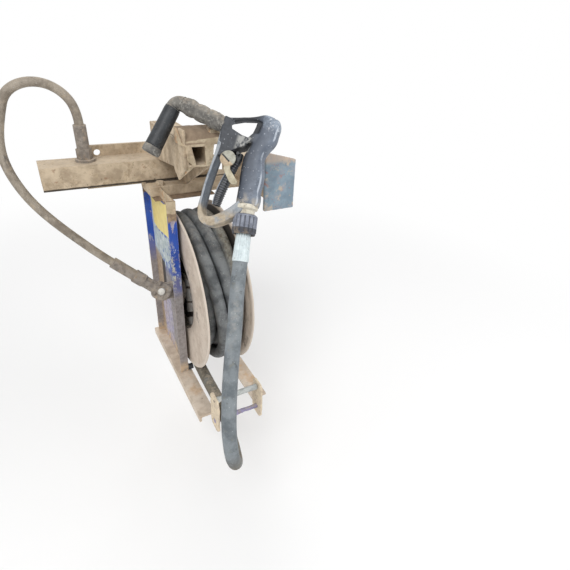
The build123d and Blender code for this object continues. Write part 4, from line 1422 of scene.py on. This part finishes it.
# Frame pieces
keep_cad("arm", ARM_BLUE, 0.6)
keep_cad("mounting_plate", STEEL_MUD, 1.2)
keep_cad("rail", STEEL_MUD, 1.0)
keep_cad("base_left", BASE_TAN, 0.8)
keep_cad("base_right", BASE_TAN, 0.8)
keep_cad("base_tie", BASE_TAN, 0.8)
keep_cad("end_box", STEEL_MUD, 1.0)
crusted("carrier_bar_crusted", "carrier_bar", 2.2, 0.9, 60, STEEL_MUD, "station", 1.0)
crusted("holder_tube_crusted", "holder_tube", 1.5, 0.5, 90, STEEL_MUD, "station", 2.0)
crusted("holder_plate_left_crusted", "holder_plate_left", 1.7, 0.6, 90, STEEL_MUD, "station", 3.0)
crusted("holder_plate_right_crusted", "holder_plate_right", 1.7, 0.6, 90, STEEL_MUD, "station", 4.0)
HOOD_MUD = steel_mud("mud_hood", (212, 196, 168), (176, 159, 132), True)
hood_low = [(6, -251.5, 90), (92, -251.5, 90), (92, -211, 90), (6, -211, 90)]
hood_top = [(6, -228, 117), (88, -250.5, 104), (92, -211, 117), (6, -211, 117)]
hood_bend = [(6, -248.5, 97), (90, -251.5, 99), (92, -211, 100), (6, -211, 100)]
hood_block = skin([[Vector(p) for p in row] for row in (hood_low, hood_bend, hood_top)])
frame_rim = [(13, 93), (66, 93), (61.6, 59.5), (55, 52.5), (28, 52.5), (15, 66)]
frame_front = prism([(x, -252.6, z) for x, z in frame_rim], (0, 4.5, 0))
frame_hole = prism([(x, -256, z) for x, z in ((23.6, 88.6), (48.4, 88.5), (49.5, 56.1), (30.8, 57.8))], (0, 12, 0))
saddle = block((62, -243, 104), (86, -222, 115.4))
hollow = block((58, -243, 93.5), (96, -215, 101.5))
hood_mesh = fused("holder_hood", [hood_block, frame_front, saddle], 1.3, 3, [frame_hole, hollow])
lumpy(hood_mesh, 0.6, 90, 5.0)
dress(bpy.data.objects.new("holder_hood", hood_mesh), HOOD_MUD, "station", ("rest_box",))
brace_face = [Vector(p) for p in ((14, -238, 80), (13, -182, 45.6), (13, -209, 20), (30, -251, 55.5))]
brace_out = (brace_face[1] - brace_face[0]).cross(brace_face[3] - brace_face[0]).normalized()
brace = fused("brace_gusset", [prism(brace_face, brace_out * (4 if brace_out.y < 0 else -4))], 1.0, 2)
lumpy(brace, 0.4, 110, 2.0)
dress(bpy.data.objects.new("brace_gusset", brace), HOOD_MUD, "station")
crusted("end_plate_crusted", "end_plate", 1.6, 0.3, 120, plate_blue_grey(), "station", 6.0)
CLAY = clay()
crusted("guide_plate_left_caked", "guide_plate_left", 1.1, 1.1, 90, CLAY, "station", 7.0)
crusted("guide_plate_right_caked", "guide_plate_right", 1.1, 0.9, 90, CLAY, "station", 8.0)
keep_cad("roller_pin", FITTING)
cover_up, cover_side = frame_at(COVER_AXIS)
LOBES = ((18.7, 3.1), (2.7, -17.5), (-2.0, 16.5))


def lobed(along, angle):
    """Swells the cover's edge at its three bolts."""
    if along < 9:
        return 0.0
    here = Vector((math.cos(angle), math.sin(angle)))
    return max(0.0, max(here.dot(Vector(lobe).normalized()) for lobe in LOBES) - 0.82) * 16


casting = [
    lathe((-3, AXIS_Y, AXIS_Z), (-1, 0, 0), [(0, 16), (0, 18.4), (1.5, 19), (22, 19), (34, 17), (38, 8)], 40),
    lathe(
        SWIVEL - COVER_AXIS * 10,
        COVER_AXIS,
        [(0, 10), (0, 17), (4, 19.5), (16, 19.5), (19, 20.2), (27, 20.2), (29.4, 18.6), (30, 16), (30, 10)],
        60,
        None,
        lobed,
    ),
    lathe(SWIVEL, FEED_AXIS, [(0, 12), (34, 13), (44, 13), (46, 14.6), (49.6, 14.6), (49.6, 6)], 40),
]
casting += [
    lathe(SWIVEL + COVER_AXIS * 14 + cover_up * a + cover_side * b, COVER_AXIS, [(0, 5.4), (7.2, 5.6), (8.2, 4.6)], 24)
    for a, b in LOBES
]
casting_mesh = fused("swivel_casting", casting, 1.2, 3)
lumpy(casting_mesh, 0.35, 120, 9.0)
dress(bpy.data.objects.new("swivel_casting", casting_mesh), FITTING, "station", ("swivel_body",))
bolts = [
    hexagon(SWIVEL + COVER_AXIS * 21.5 + cover_up * a + cover_side * b, COVER_AXIS, 4.2, 3.4, None, 0.6) for a, b in LOBES
]
verts, faces = merge(*bolts)
bevelled(finish_mesh("swivel_bolts", verts, faces, FITTING, "station", "mud_steel", smooth=False), 0.4)
keep_cad("feed_nut", FITTING, 0.8)
keep_cad("feed_ferrule", FITTING, 1.0)
keep_cad("inlet_flange", FITTING, 0.8)
keep_cad("inlet_nut", FITTING, 0.8)
keep_cad("inlet_ferrule", FITTING, 0.8)
keep_cad("swivel_cap", bright_cap())
keep_cad("trigger_pin", BLACK)
keep_cad("lock_knob", BLACK, 1.0)
crusted("cross_bar_caked", "cross_bar", 1.1, 1.6, 70, bar_lilac(), "station", 10.0)

# Guide roller with worn end collars
verts, faces = lathe(
    (5, -379, -396),
    (1, 0, 0),
    [(0, 3.1), (0, 6.2), (0.6, 6.5), (5.5, 6.5), (6.2, 6.1), (30, 6.0), (46, 5.9), (62, 6.0), (85.8, 6.1), (86.5, 6.5), (91.4, 6.5), (92, 6.2), (92, 3.1)],
    40,
    (0, 1, 0),
    lambda along, angle: 0.12 * noise.noise(Vector((math.cos(angle) * 2, math.sin(angle) * 2, along * 0.2))),
)
finish_mesh("guide_roller_worn", verts, faces, roller_grey(), "roller", "roller_plastic", ("guide_roller",))

# Plate that closes the arm's upper corner, caked with mud
cap_web = prism([(-3.0, -104, -47), (-3.0, -206, -47), (-3.0, -206, -21), (-3.0, -110, -23)], (3.0, 0, 0))
cap_lip = block((-18, -208, -47), (0, -205, -21))
cap_mesh = fused("arm_corner_plate", [cap_web, cap_lip], 1.0, 2)
lumpy(cap_mesh, 0.5, 90, 9.0)
dress(bpy.data.objects.new("arm_corner_plate", cap_mesh), HOOD_MUD, "station")

# Labels on the arm's web, bare of any print
yellow = prism(
    [(-3.0, -24, -60), (-3.0, -130, -54), (-3.0, -196, -34), (-3.0, -196, -118), (-3.0, -150, -124), (-3.0, -60, -136), (-3.0, -30, -132)],
    (-0.35, 0, 0),
)
finish_mesh("arm_label_upper", *yellow, label_yellow(), "station", "cream_plastic", smooth=False)
silver = prism(
    [(-3.0, -34, -140), (-3.0, -110, -136), (-3.0, -192, -126), (-3.0, -194, -160), (-3.0, -160, -166), (-3.0, -120, -196), (-3.0, -70, -204), (-3.0, -38, -196)],
    (-0.3, 0, 0),
)
finish_mesh("arm_label_lower", *silver, label_silver(), "station", "cream_plastic", smooth=False)

# Bolts
for index, (place, direction, radius, length) in enumerate(
    [
        ((2, -97, -23.5), UP, 9.5, 8.0),
    ]
):
    verts, faces = hexagon(place, direction, radius, length)
    obj = finish_mesh(f"bolt_head_{index}", verts, faces, STEEL_MUD, "station", "mud_steel", smooth=False)
    bevelled(obj, 0.6)
